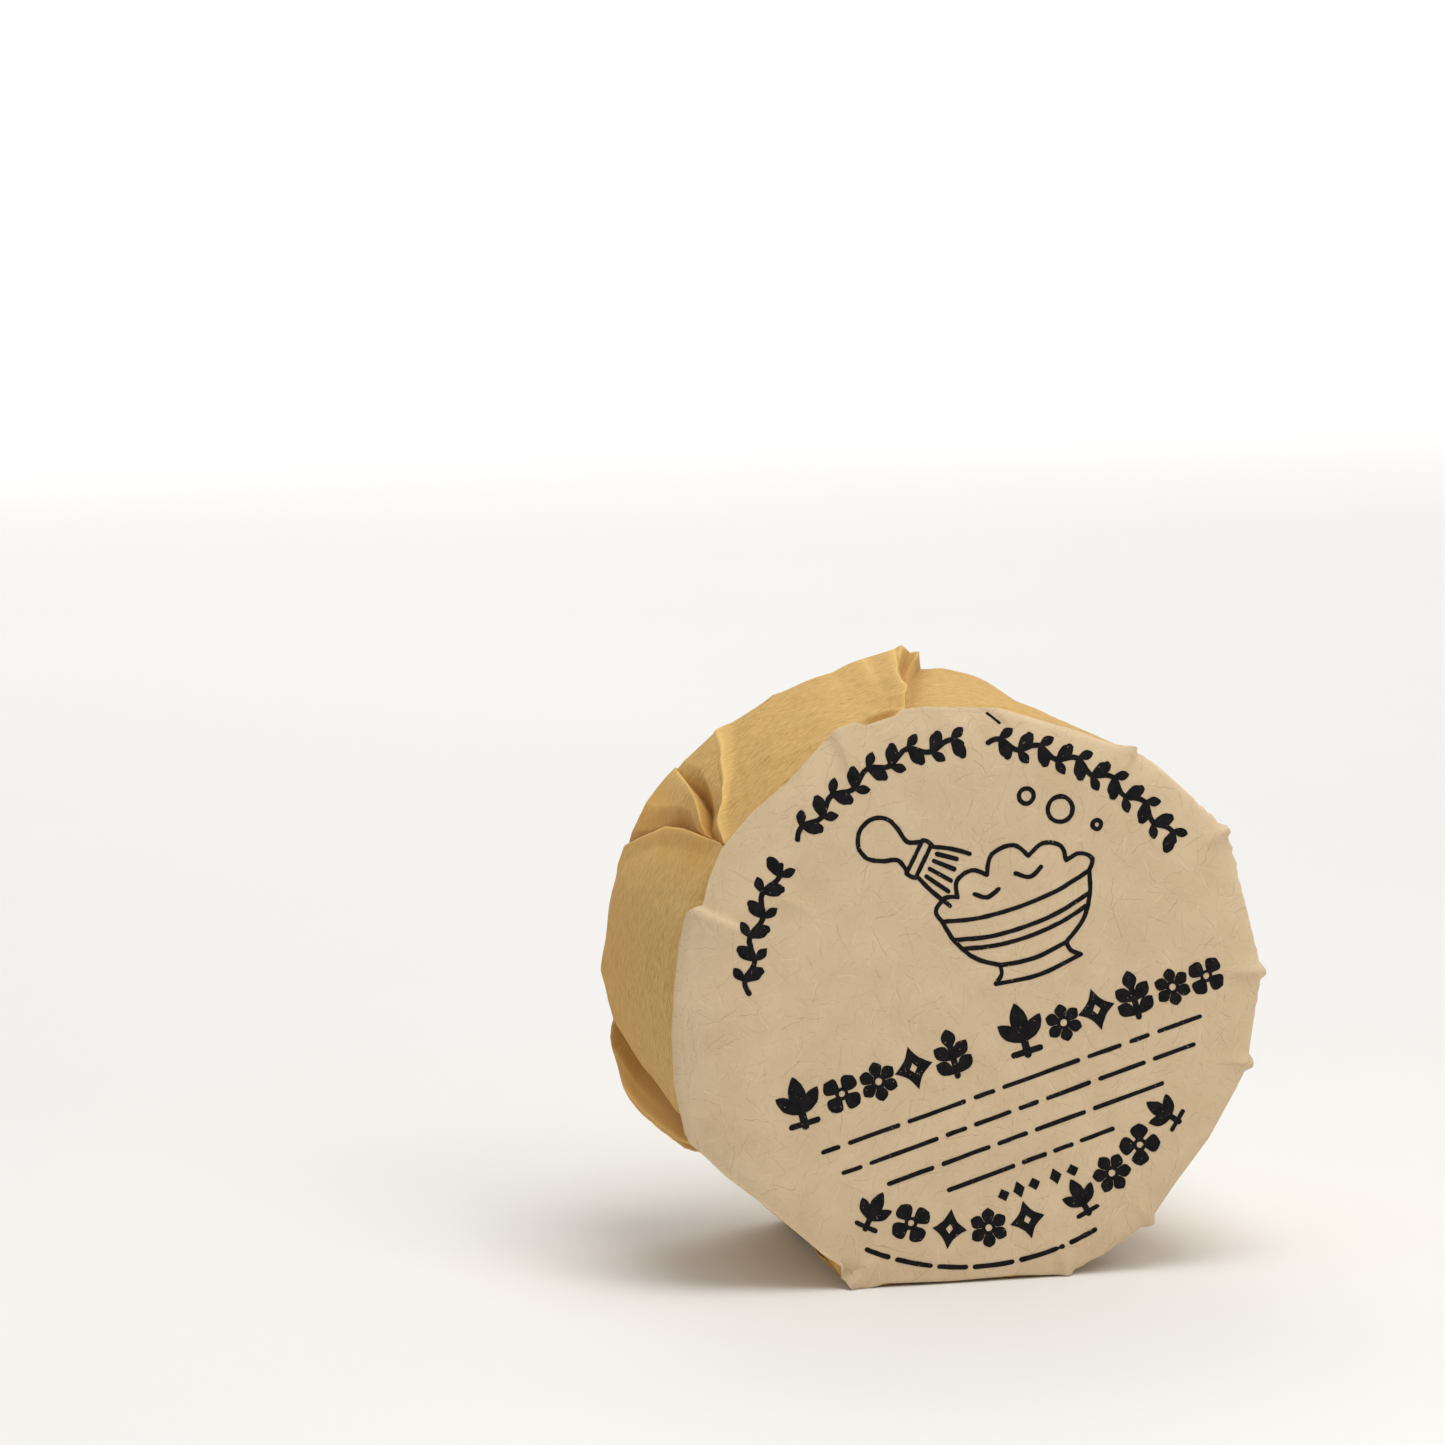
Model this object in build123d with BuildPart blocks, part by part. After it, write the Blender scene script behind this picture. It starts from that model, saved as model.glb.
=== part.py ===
from build123d import *
import os
from math import cos, radians, sin

# Paper-wrapped puck of shaving soap, standing on its folded rim.
# +Z is up. The puck's axis runs along Y, and the label faces -Y. The origin is under the middle of the whole
# object, on the surface that it stands on. Every depth is counted from the front of the label, towards +Y.

# Soap, millimetres
SOAP_DIAMETER = 53.0
SOAP_HEIGHT = 34.6
SOAP_EDGE_RADIUS = 2.6      # soft edge of the poured face, at the back
BASE_LIP = 0.35             # thin flash round the flat base, at the front
BASE_LIP_HEIGHT = 0.9

# Paper and films, with the air that is trapped under them
PAPER = 0.3
FOLD = 0.6                  # a doubled layer of the wrapper
LABEL = 0.2
FILM = 0.1                  # pressure-sensitive adhesive

# Folded rim, seen from the front: angle from +X towards +Z, and distance from the axis
FOOT_DROP = 27.5            # axis to the flat that the puck stands on
FOOT_LEFT = 246.0
FOOT_RIGHT = 289.0
RIM_CORNERS = [
    (2.5, 29.5),
    (30.0, 30.3),
    (56.0, 29.0),
    (84.0, 28.3),
    (98.0, 28.8),
    (116.0, 29.5),
    (138.0, 28.8),
    (161.0, 29.2),
    (192.0, 29.5),
    (204.0, 30.2),
    (FOOT_LEFT, FOOT_DROP / -sin(radians(FOOT_LEFT))),
    (FOOT_RIGHT, FOOT_DROP / -sin(radians(FOOT_RIGHT))),
    (308.0, 29.0),
    (344.0, 29.0),
]
BACK_CHAMFER = 1.6          # the wrapper rolls over the soap's soft edge

# Pleats: the corner that each folds at, the width of its lap at the back, in degrees, and how far the folded
# edge stands up there as an ear
PLEATS = [
    (2.5, 22.0, 0.0),
    (30.0, 20.0, 0.0),
    (56.0, 20.0, 0.0),
    (98.0, 16.0, 2.4),
    (138.0, 18.0, 1.2),
    (204.0, -16.0, 1.5),
    (FOOT_LEFT, -22.0, 0.0),
    (308.0, 24.0, 0.0),
]
EAR_START = 12.0            # depth where an ear begins to rise
GATHER_RADIUS = 4.0         # the sheet's edges end here, under the seal
PLEAT_INNER_RADIUS = 5.0

# Label and closing seal
TURNED_MARGIN = 3.0         # the label's left margin turns over the rim by this much
TURNED_FROM = 146.0
TURNED_TO = 203.0
SEAL_DIAMETER = 25.0

# Depths of the layers
WRAP_FRONT = LABEL + FILM
SOAP_FRONT = WRAP_FRONT + PAPER
SOAP_BACK = SOAP_FRONT + SOAP_HEIGHT
WRAP_BACK = SOAP_BACK + PAPER
FOLD_BACK = WRAP_BACK + FOLD
SEAL_FRONT = FOLD_BACK + FILM
TOTAL_DEPTH = SEAL_FRONT + LABEL
PLEAT_FRONT = WRAP_FRONT + TURNED_MARGIN    # pleats open out behind the label's turned margin

AXIS_X = -0.25              # centres the uneven outline over the origin
BEYOND = 60.0               # reaches past the whole puck, for cutting shapes


def section_plane(depth):
    """A plane across the axis at a depth; its normal points to the front."""
    origin = (AXIS_X, depth - TOTAL_DEPTH / 2, FOOT_DROP)
    return Plane(origin=origin, x_dir=(1, 0, 0), z_dir=(0, -1, 0))


def rim_point(angle, radius, depth):
    """A point given by its angle and distance from the axis and its depth."""
    turn = radians(angle)
    return section_plane(depth).from_local_coords(Vector(radius * cos(turn), radius * sin(turn), 0))


def rim_prism(front, back, growth, back_chamfer=0.0):
    """The folded rim's outline, grown by some amount, made solid between two depths."""
    corners = [(r * cos(radians(a)), r * sin(radians(a))) for a, r in RIM_CORNERS]
    with BuildPart() as prism:
        with BuildSketch(section_plane(back)):
            with BuildLine():
                Polyline(*corners, close=True)
            make_face()
            if growth:
                offset(amount=growth, kind=Kind.INTERSECTION)
        extrude(amount=back - front)
        if back_chamfer:
            chamfer(prism.faces().sort_by(Axis.Y)[-1].edges(), length=back_chamfer)
    return prism.part


def sector(start, end, inner_radius):
    """A wedge of the space round the axis, from one angle to another, outside an inner radius."""
    low, high = sorted((start, end))
    tips = [(BEYOND * cos(radians(a)), BEYOND * sin(radians(a))) for a in (low, high)]
    with BuildPart() as wedge:
        with BuildSketch(section_plane(TOTAL_DEPTH)):
            with BuildLine():
                Polyline((0, 0), *tips, close=True)
            make_face()
            if inner_radius:
                Circle(inner_radius, mode=Mode.SUBTRACT)
        extrude(amount=TOTAL_DEPTH)
    return wedge.part


def make_soap():
    """Cast puck: flat base with a thin lip at the front, poured face with a soft edge at the back."""
    radius = SOAP_DIAMETER / 2
    with BuildPart() as soap_puck:
        with BuildSketch(section_plane(SOAP_BACK)):
            Circle(radius)
        extrude(amount=SOAP_HEIGHT)
        fillet(soap_puck.faces().sort_by(Axis.Y)[-1].edges(), radius=SOAP_EDGE_RADIUS)
        with BuildSketch(section_plane(SOAP_FRONT + BASE_LIP_HEIGHT)):
            Circle(radius + BASE_LIP)
        extrude(amount=BASE_LIP_HEIGHT)
    return soap_puck.part


def make_wrapper(block):
    """The sheet: front panel, wall, and the edge gathered in over the back."""
    hollow = rim_prism(SOAP_FRONT, SOAP_BACK, -PAPER, BACK_CHAMFER)
    with BuildPart() as wrapper_sheet:
        add(block)
        add(hollow, mode=Mode.SUBTRACT)
        with BuildSketch(section_plane(WRAP_BACK)):
            Circle(GATHER_RADIUS)
        extrude(amount=BACK_CHAMFER, mode=Mode.SUBTRACT)
    return wrapper_sheet.part


def make_pleat(block, corner, lap, ear):
    """A doubled layer: a triangle on the wall that widens to the back, and a tapering lap on the back face."""
    radius = dict(RIM_CORNERS)[corner]
    skin = rim_prism(PLEAT_FRONT, FOLD_BACK, FOLD, BACK_CHAMFER)
    apex = rim_point(corner, radius, PLEAT_FRONT)
    far_corner = rim_point(corner + lap, radius, WRAP_BACK)
    outward = far_corner - rim_point(corner, 0, WRAP_BACK)
    slant = outward.cross(far_corner - apex)
    if slant.Y < 0:
        slant = -slant
    with BuildPart() as pleat:
        add(skin)
        add(sector(corner, corner + lap, PLEAT_INNER_RADIUS), mode=Mode.INTERSECT)
        split(bisect_by=Plane(origin=apex, z_dir=slant), keep=Keep.TOP)
        if ear:
            with BuildSketch(Plane(rim_point(corner, 0, 0), x_dir=(0, 1, 0), z_dir=ear_normal(corner))):
                with BuildLine():
                    Polyline(
                        (EAR_START, radius - PAPER),
                        (FOLD_BACK - BACK_CHAMFER, radius - PAPER),
                        (FOLD_BACK - BACK_CHAMFER, radius + FOLD + ear),
                        close=True,
                    )
                make_face()
            extrude(amount=FOLD / 2, both=True)
        add(block, mode=Mode.SUBTRACT)
        split(bisect_by=Plane.XY, keep=Keep.TOP)    # pressed flat where the puck stands
    return pleat.part


def ear_normal(corner):
    """Normal of the plane through the axis and a corner, with its second direction pointing outwards."""
    outward = rim_point(corner, 1, 0) - rim_point(corner, 0, 0)
    return Vector(0, 1, 0).cross(outward)


def make_label():
    """Front disc of paper, with its left margin turned over the rim."""
    disc = rim_prism(0, LABEL, 0)
    margin = rim_prism(0, PLEAT_FRONT, FILM + LABEL)
    core = rim_prism(LABEL, TOTAL_DEPTH, FILM)
    with BuildPart() as label:
        add(margin)
        add(sector(TURNED_FROM, TURNED_TO, 0), mode=Mode.INTERSECT)
        add(core, mode=Mode.SUBTRACT)
        add(disc)
    return label.part


def make_label_film(block):
    """Adhesive between the label and the wrapper, on the face and under the turned margin."""
    disc = rim_prism(LABEL, WRAP_FRONT, 0)
    margin = rim_prism(LABEL, PLEAT_FRONT, FILM)
    with BuildPart() as label_adhesive:
        add(margin)
        add(sector(TURNED_FROM, TURNED_TO, 0), mode=Mode.INTERSECT)
        add(block, mode=Mode.SUBTRACT)
        add(disc)
    return label_adhesive.part


def make_disc(front, thickness):
    """A round film or seal in the middle of the back."""
    with BuildPart() as disc:
        with BuildSketch(section_plane(front + thickness)):
            Circle(SEAL_DIAMETER / 2)
        extrude(amount=thickness)
    return disc.part


def save(piece, name):
    """Label a finished piece and write it as its own STEP file."""
    piece.label = name
    export_step(piece, f"parts/{name}.step")


os.makedirs("parts", exist_ok=True)
wrapped_block = rim_prism(WRAP_FRONT, WRAP_BACK, 0, BACK_CHAMFER)

save(make_soap(), "soap_puck")
save(make_wrapper(wrapped_block), "wrapper_sheet")
for number, (pleat_corner, pleat_lap, pleat_ear) in enumerate(PLEATS, start=1):
    save(make_pleat(wrapped_block, pleat_corner, pleat_lap, pleat_ear), f"wrapper_pleat_{number:02d}")
save(make_label(), "label")
save(make_label_film(wrapped_block), "label_adhesive")
save(make_disc(FOLD_BACK, FILM), "seal_adhesive")
save(make_disc(SEAL_FRONT, LABEL), "back_seal")
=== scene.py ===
import math

import bpy
import numpy as np
from mathutils import Matrix, Vector, noise
from mathutils.geometry import delaunay_2d_cdt


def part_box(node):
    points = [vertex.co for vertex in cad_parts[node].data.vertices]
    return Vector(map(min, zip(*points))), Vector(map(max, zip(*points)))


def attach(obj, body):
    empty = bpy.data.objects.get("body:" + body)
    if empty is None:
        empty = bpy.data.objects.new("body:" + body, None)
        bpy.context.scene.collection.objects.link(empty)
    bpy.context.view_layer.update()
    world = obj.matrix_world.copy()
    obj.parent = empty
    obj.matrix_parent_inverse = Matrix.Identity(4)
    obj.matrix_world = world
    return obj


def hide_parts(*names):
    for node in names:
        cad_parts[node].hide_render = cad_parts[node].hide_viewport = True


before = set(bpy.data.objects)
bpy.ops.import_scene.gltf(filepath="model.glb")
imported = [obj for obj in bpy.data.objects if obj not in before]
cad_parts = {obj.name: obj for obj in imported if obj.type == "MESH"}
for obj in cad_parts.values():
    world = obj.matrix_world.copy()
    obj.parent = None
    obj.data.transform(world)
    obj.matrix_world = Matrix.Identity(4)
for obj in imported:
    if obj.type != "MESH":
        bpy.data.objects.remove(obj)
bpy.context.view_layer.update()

# A puck of shaving soap in pleated brown paper, with a round kraft label, standing on its folded rim.
# Shapes are worked out in millimetres in the puck's own terms: u to the right and w up, both from the puck's
# axis, and the depth d from the front of the label. place() puts them in the frame, in metres.

MM = 0.001
label_low, label_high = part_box("label")
seal_low, seal_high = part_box("back_seal")
soap_low, soap_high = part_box("soap_puck")
AXIS = (seal_low + seal_high) / 2
FRONT_Y = label_low.y
FOOT = -AXIS.z / MM + 0.05                       # w of the surface that the puck stands on, just clear of it
SOAP_FRONT = (soap_low.y - FRONT_Y) / MM
SOAP_BACK = (soap_high.y - FRONT_Y) / MM
SOAP_RADIUS = (soap_high.z - soap_low.z) / MM / 2
SEAL_RADIUS = (seal_high.z - seal_low.z) / MM / 2
SEAL_DEPTH = (seal_low.y - FRONT_Y) / MM

# Layers at the front, from the label's face inwards
FACE_DEPTH = 0.05
LABEL_THICK = 0.12
FILM_THICK = 0.05
PAPER_THICK = 0.1
WRAP_DEPTH = FACE_DEPTH + LABEL_THICK + FILM_THICK


def place(u, w, d):
    """Points of the puck's own terms, in the frame, in metres."""
    u, w, d = np.broadcast_arrays(np.asarray(u, float), np.asarray(w, float), np.asarray(d, float))
    return np.stack([AXIS.x + u * MM, FRONT_Y + d * MM, AXIS.z + w * MM], axis=-1)


def smoothstep(x):
    x = np.clip(x, 0.0, 1.0)
    return x * x * (3 - 2 * x)


def smooth_noise(points, scale, seed):
    """Perlin noise from about -1 to 1 at an array of 3-D points, with features about scale across."""
    shift = Vector((seed * 17.13, seed * 5.71, seed * 9.37))
    return np.array([noise.noise(Vector(p) / scale + shift) for p in points])


def make_object(name, points, faces, material, smooth=True):
    """A mesh object from points in metres."""
    mesh = bpy.data.meshes.new(name)
    mesh.from_pydata([tuple(p) for p in points], [], [tuple(f) for f in faces])
    mesh.validate()
    mesh.polygons.foreach_set("use_smooth", [smooth] * len(mesh.polygons))
    mesh.materials.append(material)
    thing = bpy.data.objects.new(name, mesh)
    bpy.context.scene.collection.objects.link(thing)
    return thing


def thicken(thing, thickness, offset):
    """Gives a sheet its thickness in millimetres; offset -1 grows it behind its faces, 1 in front."""
    solid = thing.modifiers.new("thickness", "SOLIDIFY")
    solid.thickness = thickness * MM
    solid.offset = offset
    solid.use_even_offset = False
    with bpy.context.temp_override(object=thing, active_object=thing, selected_objects=[thing]):
        bpy.ops.object.modifier_apply(modifier=solid.name)


def add_attribute(thing, name, values):
    """A named number at each point, for the material to read."""
    layer = thing.data.attributes.new(name, "FLOAT", "POINT")
    layer.data.foreach_set("value", np.asarray(values, np.float32))


# ---------------------------------------------------------------- materials


class Nodes:
    """Short hand for building a node material."""

    def __init__(self, name):
        self.material = bpy.data.materials.new(name)
        self.material.use_nodes = True
        self.tree = self.material.node_tree
        self.shader = self.tree.nodes["Principled BSDF"]

    def node(self, kind, **settings):
        made = self.tree.nodes.new(kind)
        for key, value in settings.items():
            setattr(made, key, value)
        return made

    def link(self, source, target):
        self.tree.links.new(source, target)

    def coordinates(self, scale, stretch=(1, 1, 1), attribute=None):
        """Object coordinates, or a named vector attribute, in features of scale metres."""
        if attribute:
            place_node = self.node("ShaderNodeAttribute", attribute_name=attribute)
            source = place_node.outputs["Vector"]
        else:
            source = self.node("ShaderNodeTexCoord").outputs["Object"]
        mapping = self.node("ShaderNodeMapping")
        mapping.inputs["Scale"].default_value = [s / scale for s in stretch]
        self.link(source, mapping.inputs["Vector"])
        return mapping.outputs["Vector"]

    def noise(self, vector, scale=1.0, detail=3.0, rough=0.5, distortion=0.0):
        made = self.node("ShaderNodeTexNoise")
        made.inputs["Scale"].default_value = scale
        made.inputs["Detail"].default_value = detail
        made.inputs["Roughness"].default_value = rough
        made.inputs["Distortion"].default_value = distortion
        self.link(vector, made.inputs["Vector"])
        return made.outputs["Fac"]

    def ramp(self, value, *stops):
        """Maps a number to a colour, or to a grey, through (position, colour) stops."""
        made = self.node("ShaderNodeValToRGB")
        elements = made.color_ramp.elements
        while len(elements) < len(stops):
            elements.new(0.5)
        for element, (position, colour) in zip(elements, stops):
            element.position = position
            element.color = (*colour, 1) if hasattr(colour, "__len__") else (colour, colour, colour, 1)
        self.link(value, made.inputs["Fac"])
        return made.outputs["Color"]

    def mix(self, amount, first, second, blend="MIX"):
        """Mixes two colours by a number or a socket."""
        made = self.node("ShaderNodeMix", data_type="RGBA", blend_type=blend)
        for socket, value in (("Factor", amount), ("A", first), ("B", second)):
            target = next(i for i in made.inputs if i.name == socket and i.enabled)
            if hasattr(value, "is_output"):
                self.link(value, target)
            elif socket == "Factor":
                target.default_value = value
            else:
                target.default_value = (*value, 1)
        return next(o for o in made.outputs if o.enabled)

    def maths(self, operation, first, second=0.0, clamp=False):
        made = self.node("ShaderNodeMath", operation=operation, use_clamp=clamp)
        for target, value in zip(made.inputs, (first, second)):
            if hasattr(value, "is_output"):
                self.link(value, target)
            else:
                target.default_value = value
        return made.outputs["Value"]

    def bump(self, height, distance, strength=1.0, normal=None):
        made = self.node("ShaderNodeBump")
        made.inputs["Distance"].default_value = distance
        made.inputs["Strength"].default_value = strength
        self.link(height, made.inputs["Height"])
        if normal is not None:
            self.link(normal, made.inputs["Normal"])
        return made.outputs["Normal"]

    def finish(self, colour, roughness, normal=None):
        self.link(colour, self.shader.inputs["Base Color"])
        if hasattr(roughness, "is_output"):
            self.link(roughness, self.shader.inputs["Roughness"])
        else:
            self.shader.inputs["Roughness"].default_value = roughness
        if normal is not None:
            self.link(normal, self.shader.inputs["Normal"])
        return self.material


def fibre_lines(kit, vector, cell_size, half_length, width):
    """Short hairs, one to a cell, each lying its own way and slightly bent."""
    wander = kit.node("ShaderNodeTexNoise")
    wander.inputs["Scale"].default_value = 0.7
    kit.link(vector, wander.inputs["Vector"])
    moved = kit.node("ShaderNodeVectorMath", operation="MULTIPLY_ADD")
    kit.link(wander.outputs["Color"], moved.inputs[0])
    moved.inputs[1].default_value = (0.9, 0.9, 0.9)
    kit.link(vector, moved.inputs[2])
    cells = kit.node("ShaderNodeTexVoronoi", voronoi_dimensions="2D")
    cells.inputs["Scale"].default_value = 1 / cell_size
    kit.link(moved.outputs["Vector"], cells.inputs["Vector"])
    offset = kit.node("ShaderNodeVectorMath", operation="SUBTRACT")
    kit.link(moved.outputs["Vector"], offset.inputs[0])
    kit.link(cells.outputs["Position"], offset.inputs[1])
    apart = kit.node("ShaderNodeSeparateXYZ")
    kit.link(offset.outputs["Vector"], apart.inputs[0])
    chance = kit.node("ShaderNodeSeparateColor")
    kit.link(cells.outputs["Color"], chance.inputs[0])
    turn = kit.maths("MULTIPLY", chance.outputs["Red"], math.pi)
    c, s = kit.maths("COSINE", turn), kit.maths("SINE", turn)
    x, y = apart.outputs["X"], apart.outputs["Y"]
    along = kit.maths("ADD", kit.maths("MULTIPLY", x, c), kit.maths("MULTIPLY", y, s))
    across = kit.maths("SUBTRACT", kit.maths("MULTIPLY", y, c), kit.maths("MULTIPLY", x, s))
    line = kit.maths("SUBTRACT", 1.0, kit.maths("DIVIDE", kit.maths("ABSOLUTE", across), width), clamp=True)
    reach = kit.maths("MULTIPLY", kit.maths("ADD", chance.outputs["Green"], 0.35), half_length)
    ends = kit.maths("MULTIPLY", kit.maths("SUBTRACT", reach, kit.maths("ABSOLUTE", along)), 9.0, clamp=True)
    return kit.maths("MULTIPLY", kit.maths("MULTIPLY", line, ends), kit.maths("ADD", chance.outputs["Blue"], 0.3),
                     clamp=True)


def kraft_label_material(name="kraft_label"):
    """Matte recycled kraft: greyish tan with fine dark and pale hairs and soft cloudy mottling."""
    kit = Nodes(name)
    place_node = kit.coordinates(MM)
    cloud = kit.noise(place_node, scale=0.22, detail=4, rough=0.6)
    grain = kit.noise(place_node, scale=2.6, detail=3, rough=0.7)
    colour = kit.ramp(cloud, (0.35, (0.61, 0.455, 0.275)), (0.68, (0.69, 0.53, 0.335)))
    colour = kit.mix(kit.maths("MULTIPLY", grain, 0.40), colour, (0.74, 0.59, 0.41))
    for seed, cell_size, half_length, width, tint, strength in (
        (1, 3.4, 1.50, 0.050, (0.22, 0.12, 0.05), 0.42),
        (2, 2.5, 1.20, 0.045, (0.30, 0.15, 0.06), 0.40),
        (3, 1.8, 0.80, 0.045, (0.38, 0.19, 0.08), 0.32),
        (4, 1.1, 0.45, 0.050, (0.34, 0.20, 0.10), 0.28),
        (5, 1.9, 0.90, 0.050, (0.95, 0.82, 0.60), 0.28),
    ):
        shifted = kit.node("ShaderNodeMapping")
        shifted.inputs["Location"].default_value = (seed * 31.7, seed * 12.3, 0)
        shifted.inputs["Rotation"].default_value = (math.radians(-90), 0, 0)
        kit.link(place_node, shifted.inputs["Vector"])
        hair = fibre_lines(kit, shifted.outputs["Vector"], cell_size, half_length, width)
        colour = kit.mix(kit.maths("MULTIPLY", hair, strength, clamp=True), colour, tint)
    tooth = kit.noise(place_node, scale=5.0, detail=4, rough=0.7)
    normal = kit.bump(tooth, 0.05 * MM, 0.5)
    rough = kit.maths("ADD", kit.maths("MULTIPLY", grain, 0.15), 0.74)
    kit.shader.inputs["Specular IOR Level"].default_value = 0.3
    return kit.finish(colour, rough, normal)


def wrapper_material():
    """Thin golden-tan crepe paper with fine streaks round the puck. Light and shade are painted into its colour: a
    painted highlight along the fold lines, painted shade deepening to brown in the hollows, and painted orange light,
    for light through the paper and reflected into its shade, on the left side and the flaps.
    """
    kit = Nodes("crepe_wrapper")
    sheet = kit.coordinates(MM, stretch=(0.22, 1, 1), attribute="sheet")
    solid = kit.coordinates(MM)
    streak = kit.noise(sheet, scale=4.2, detail=5, rough=0.65, distortion=0.3)
    cloud = kit.noise(solid, scale=0.16, detail=3, rough=0.55)
    grain = kit.noise(solid, scale=3.5, detail=3, rough=0.7)
    colour = kit.ramp(streak, (0.38, (0.42, 0.235, 0.050)), (0.50, (0.57, 0.345, 0.088)),
                      (0.62, (0.73, 0.475, 0.150)))
    colour = kit.mix(kit.maths("MULTIPLY", cloud, 0.30), colour, (0.63, 0.385, 0.108))
    colour = kit.mix(kit.maths("MULTIPLY", grain, 0.25), colour, (0.49, 0.295, 0.08))
    # Painted light: a deeper orange on the shaded left side and the flaps stands for light shining through the paper
    # and reflected into its shade.
    painted_warm_light = kit.node("ShaderNodeAttribute", attribute_name="painted_warm_light").outputs["Fac"]
    colour = kit.mix(kit.maths("MULTIPLY", painted_warm_light, 0.75, clamp=True), colour, (0.62, 0.29, 0.034))
    # Painted highlight: raised fold lines and glowing fold lines are lightened towards pale gold, broken up by the
    # grain.
    fold = kit.node("ShaderNodeAttribute", attribute_name="fold").outputs["Fac"]
    fold_highlight = kit.maths("MULTIPLY", fold, kit.maths("ADD", kit.maths("MULTIPLY", grain, 0.8), 0.35), clamp=True)
    colour = kit.mix(kit.maths("MULTIPLY", fold_highlight, 0.7), colour, (0.90, 0.60, 0.18))
    # Painted shade: recesses, fold lines deep in shade and the gap at the lip darken towards deep brown.
    hollow = kit.node("ShaderNodeAttribute", attribute_name="hollow").outputs["Fac"]
    colour = kit.mix(kit.maths("MULTIPLY", hollow, 0.75, clamp=True), colour, (0.35, 0.140, 0.015))
    normal = kit.bump(streak, 0.20 * MM, 0.75)
    normal = kit.bump(grain, 0.05 * MM, 0.5, normal)
    rough = kit.maths("ADD", kit.maths("MULTIPLY", streak, 0.2), 0.62)
    kit.shader.inputs["Specular IOR Level"].default_value = 0.35
    return kit.finish(colour, rough, normal)


def ink_material():
    """Black ink that has soaked into the kraft: matte, with pinholes where the paper shows."""
    kit = Nodes("black_ink")
    place_node = kit.coordinates(MM)
    speck = kit.noise(place_node, scale=4.2, detail=2, rough=0.6)
    pinholes = kit.ramp(speck, (0.70, 0.0), (0.74, 1.0))
    wear = kit.noise(place_node, scale=1.1, detail=3, rough=0.6)
    colour = kit.ramp(wear, (0.35, (0.004, 0.004, 0.005)), (0.75, (0.014, 0.012, 0.013)))
    colour = kit.mix(kit.maths("MULTIPLY", pinholes, 0.8), colour, (0.45, 0.35, 0.24))
    tooth = kit.noise(place_node, scale=5.0, detail=4, rough=0.7)
    kit.shader.inputs["Specular IOR Level"].default_value = 0.12
    return kit.finish(colour, 0.75, kit.bump(tooth, 0.04 * MM, 0.5))


def soap_material():
    """Cream cast soap: waxy, slightly translucent, with faint clouding."""
    kit = Nodes("cast_soap")
    place_node = kit.coordinates(MM)
    cloud = kit.noise(place_node, scale=0.09, detail=4, rough=0.55)
    colour = kit.ramp(cloud, (0.3, (0.86, 0.76, 0.50)), (0.7, (0.90, 0.82, 0.60)))
    speck = kit.noise(place_node, scale=1.7, detail=1)
    colour = kit.mix(kit.ramp(speck, (0.74, 0.0), (0.80, 0.6)), colour, (0.95, 0.91, 0.78))
    ripple = kit.noise(place_node, scale=0.6, detail=4, rough=0.5)
    shader = kit.shader
    shader.inputs["Subsurface Weight"].default_value = 0.35
    shader.inputs["Subsurface Radius"].default_value = (1.0, 0.7, 0.35)
    shader.inputs["Subsurface Scale"].default_value = 3 * MM
    shader.inputs["Specular IOR Level"].default_value = 0.45
    rough = kit.maths("ADD", kit.maths("MULTIPLY", ripple, 0.2), 0.38)
    return kit.finish(colour, rough, kit.bump(ripple, 0.12 * MM, 0.4))


def film_material():
    """Dried pressure-sensitive adhesive: a pale, slightly glossy film with uneven wetting."""
    kit = Nodes("adhesive_film")
    place_node = kit.coordinates(MM)
    wet = kit.noise(place_node, scale=0.7, detail=4, rough=0.6)
    colour = kit.ramp(wet, (0.35, (0.74, 0.66, 0.50)), (0.65, (0.84, 0.78, 0.64)))
    rough = kit.maths("ADD", kit.maths("MULTIPLY", wet, 0.4), 0.15)
    return kit.finish(colour, rough, kit.bump(wet, 0.05 * MM, 0.5))


def floor_material():
    kit = Nodes("pale_sweep")
    place_node = kit.coordinates(1.0)
    cloud = kit.noise(place_node, scale=6.0, detail=3)
    colour = kit.ramp(cloud, (0.3, (0.80, 0.795, 0.775)), (0.7, (0.82, 0.815, 0.80)))
    # Painted light: the sweep glows, more the further back it lies, so that the backdrop shows pale.
    away = kit.node("ShaderNodeSeparateXYZ")
    kit.link(kit.coordinates(1.0), away.inputs["Vector"])
    distance = kit.maths("DIVIDE", kit.maths("SUBTRACT", away.outputs["Y"], 0.10), 1.2, clamp=True)
    kit.shader.inputs["Emission Color"].default_value = (1, 0.995, 0.985, 1)
    kit.link(kit.maths("MULTIPLY", distance, 0.55), kit.shader.inputs["Emission Strength"])
    return kit.finish(colour, 0.8)


# ---------------------------------------------------------------- the wrapper


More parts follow.
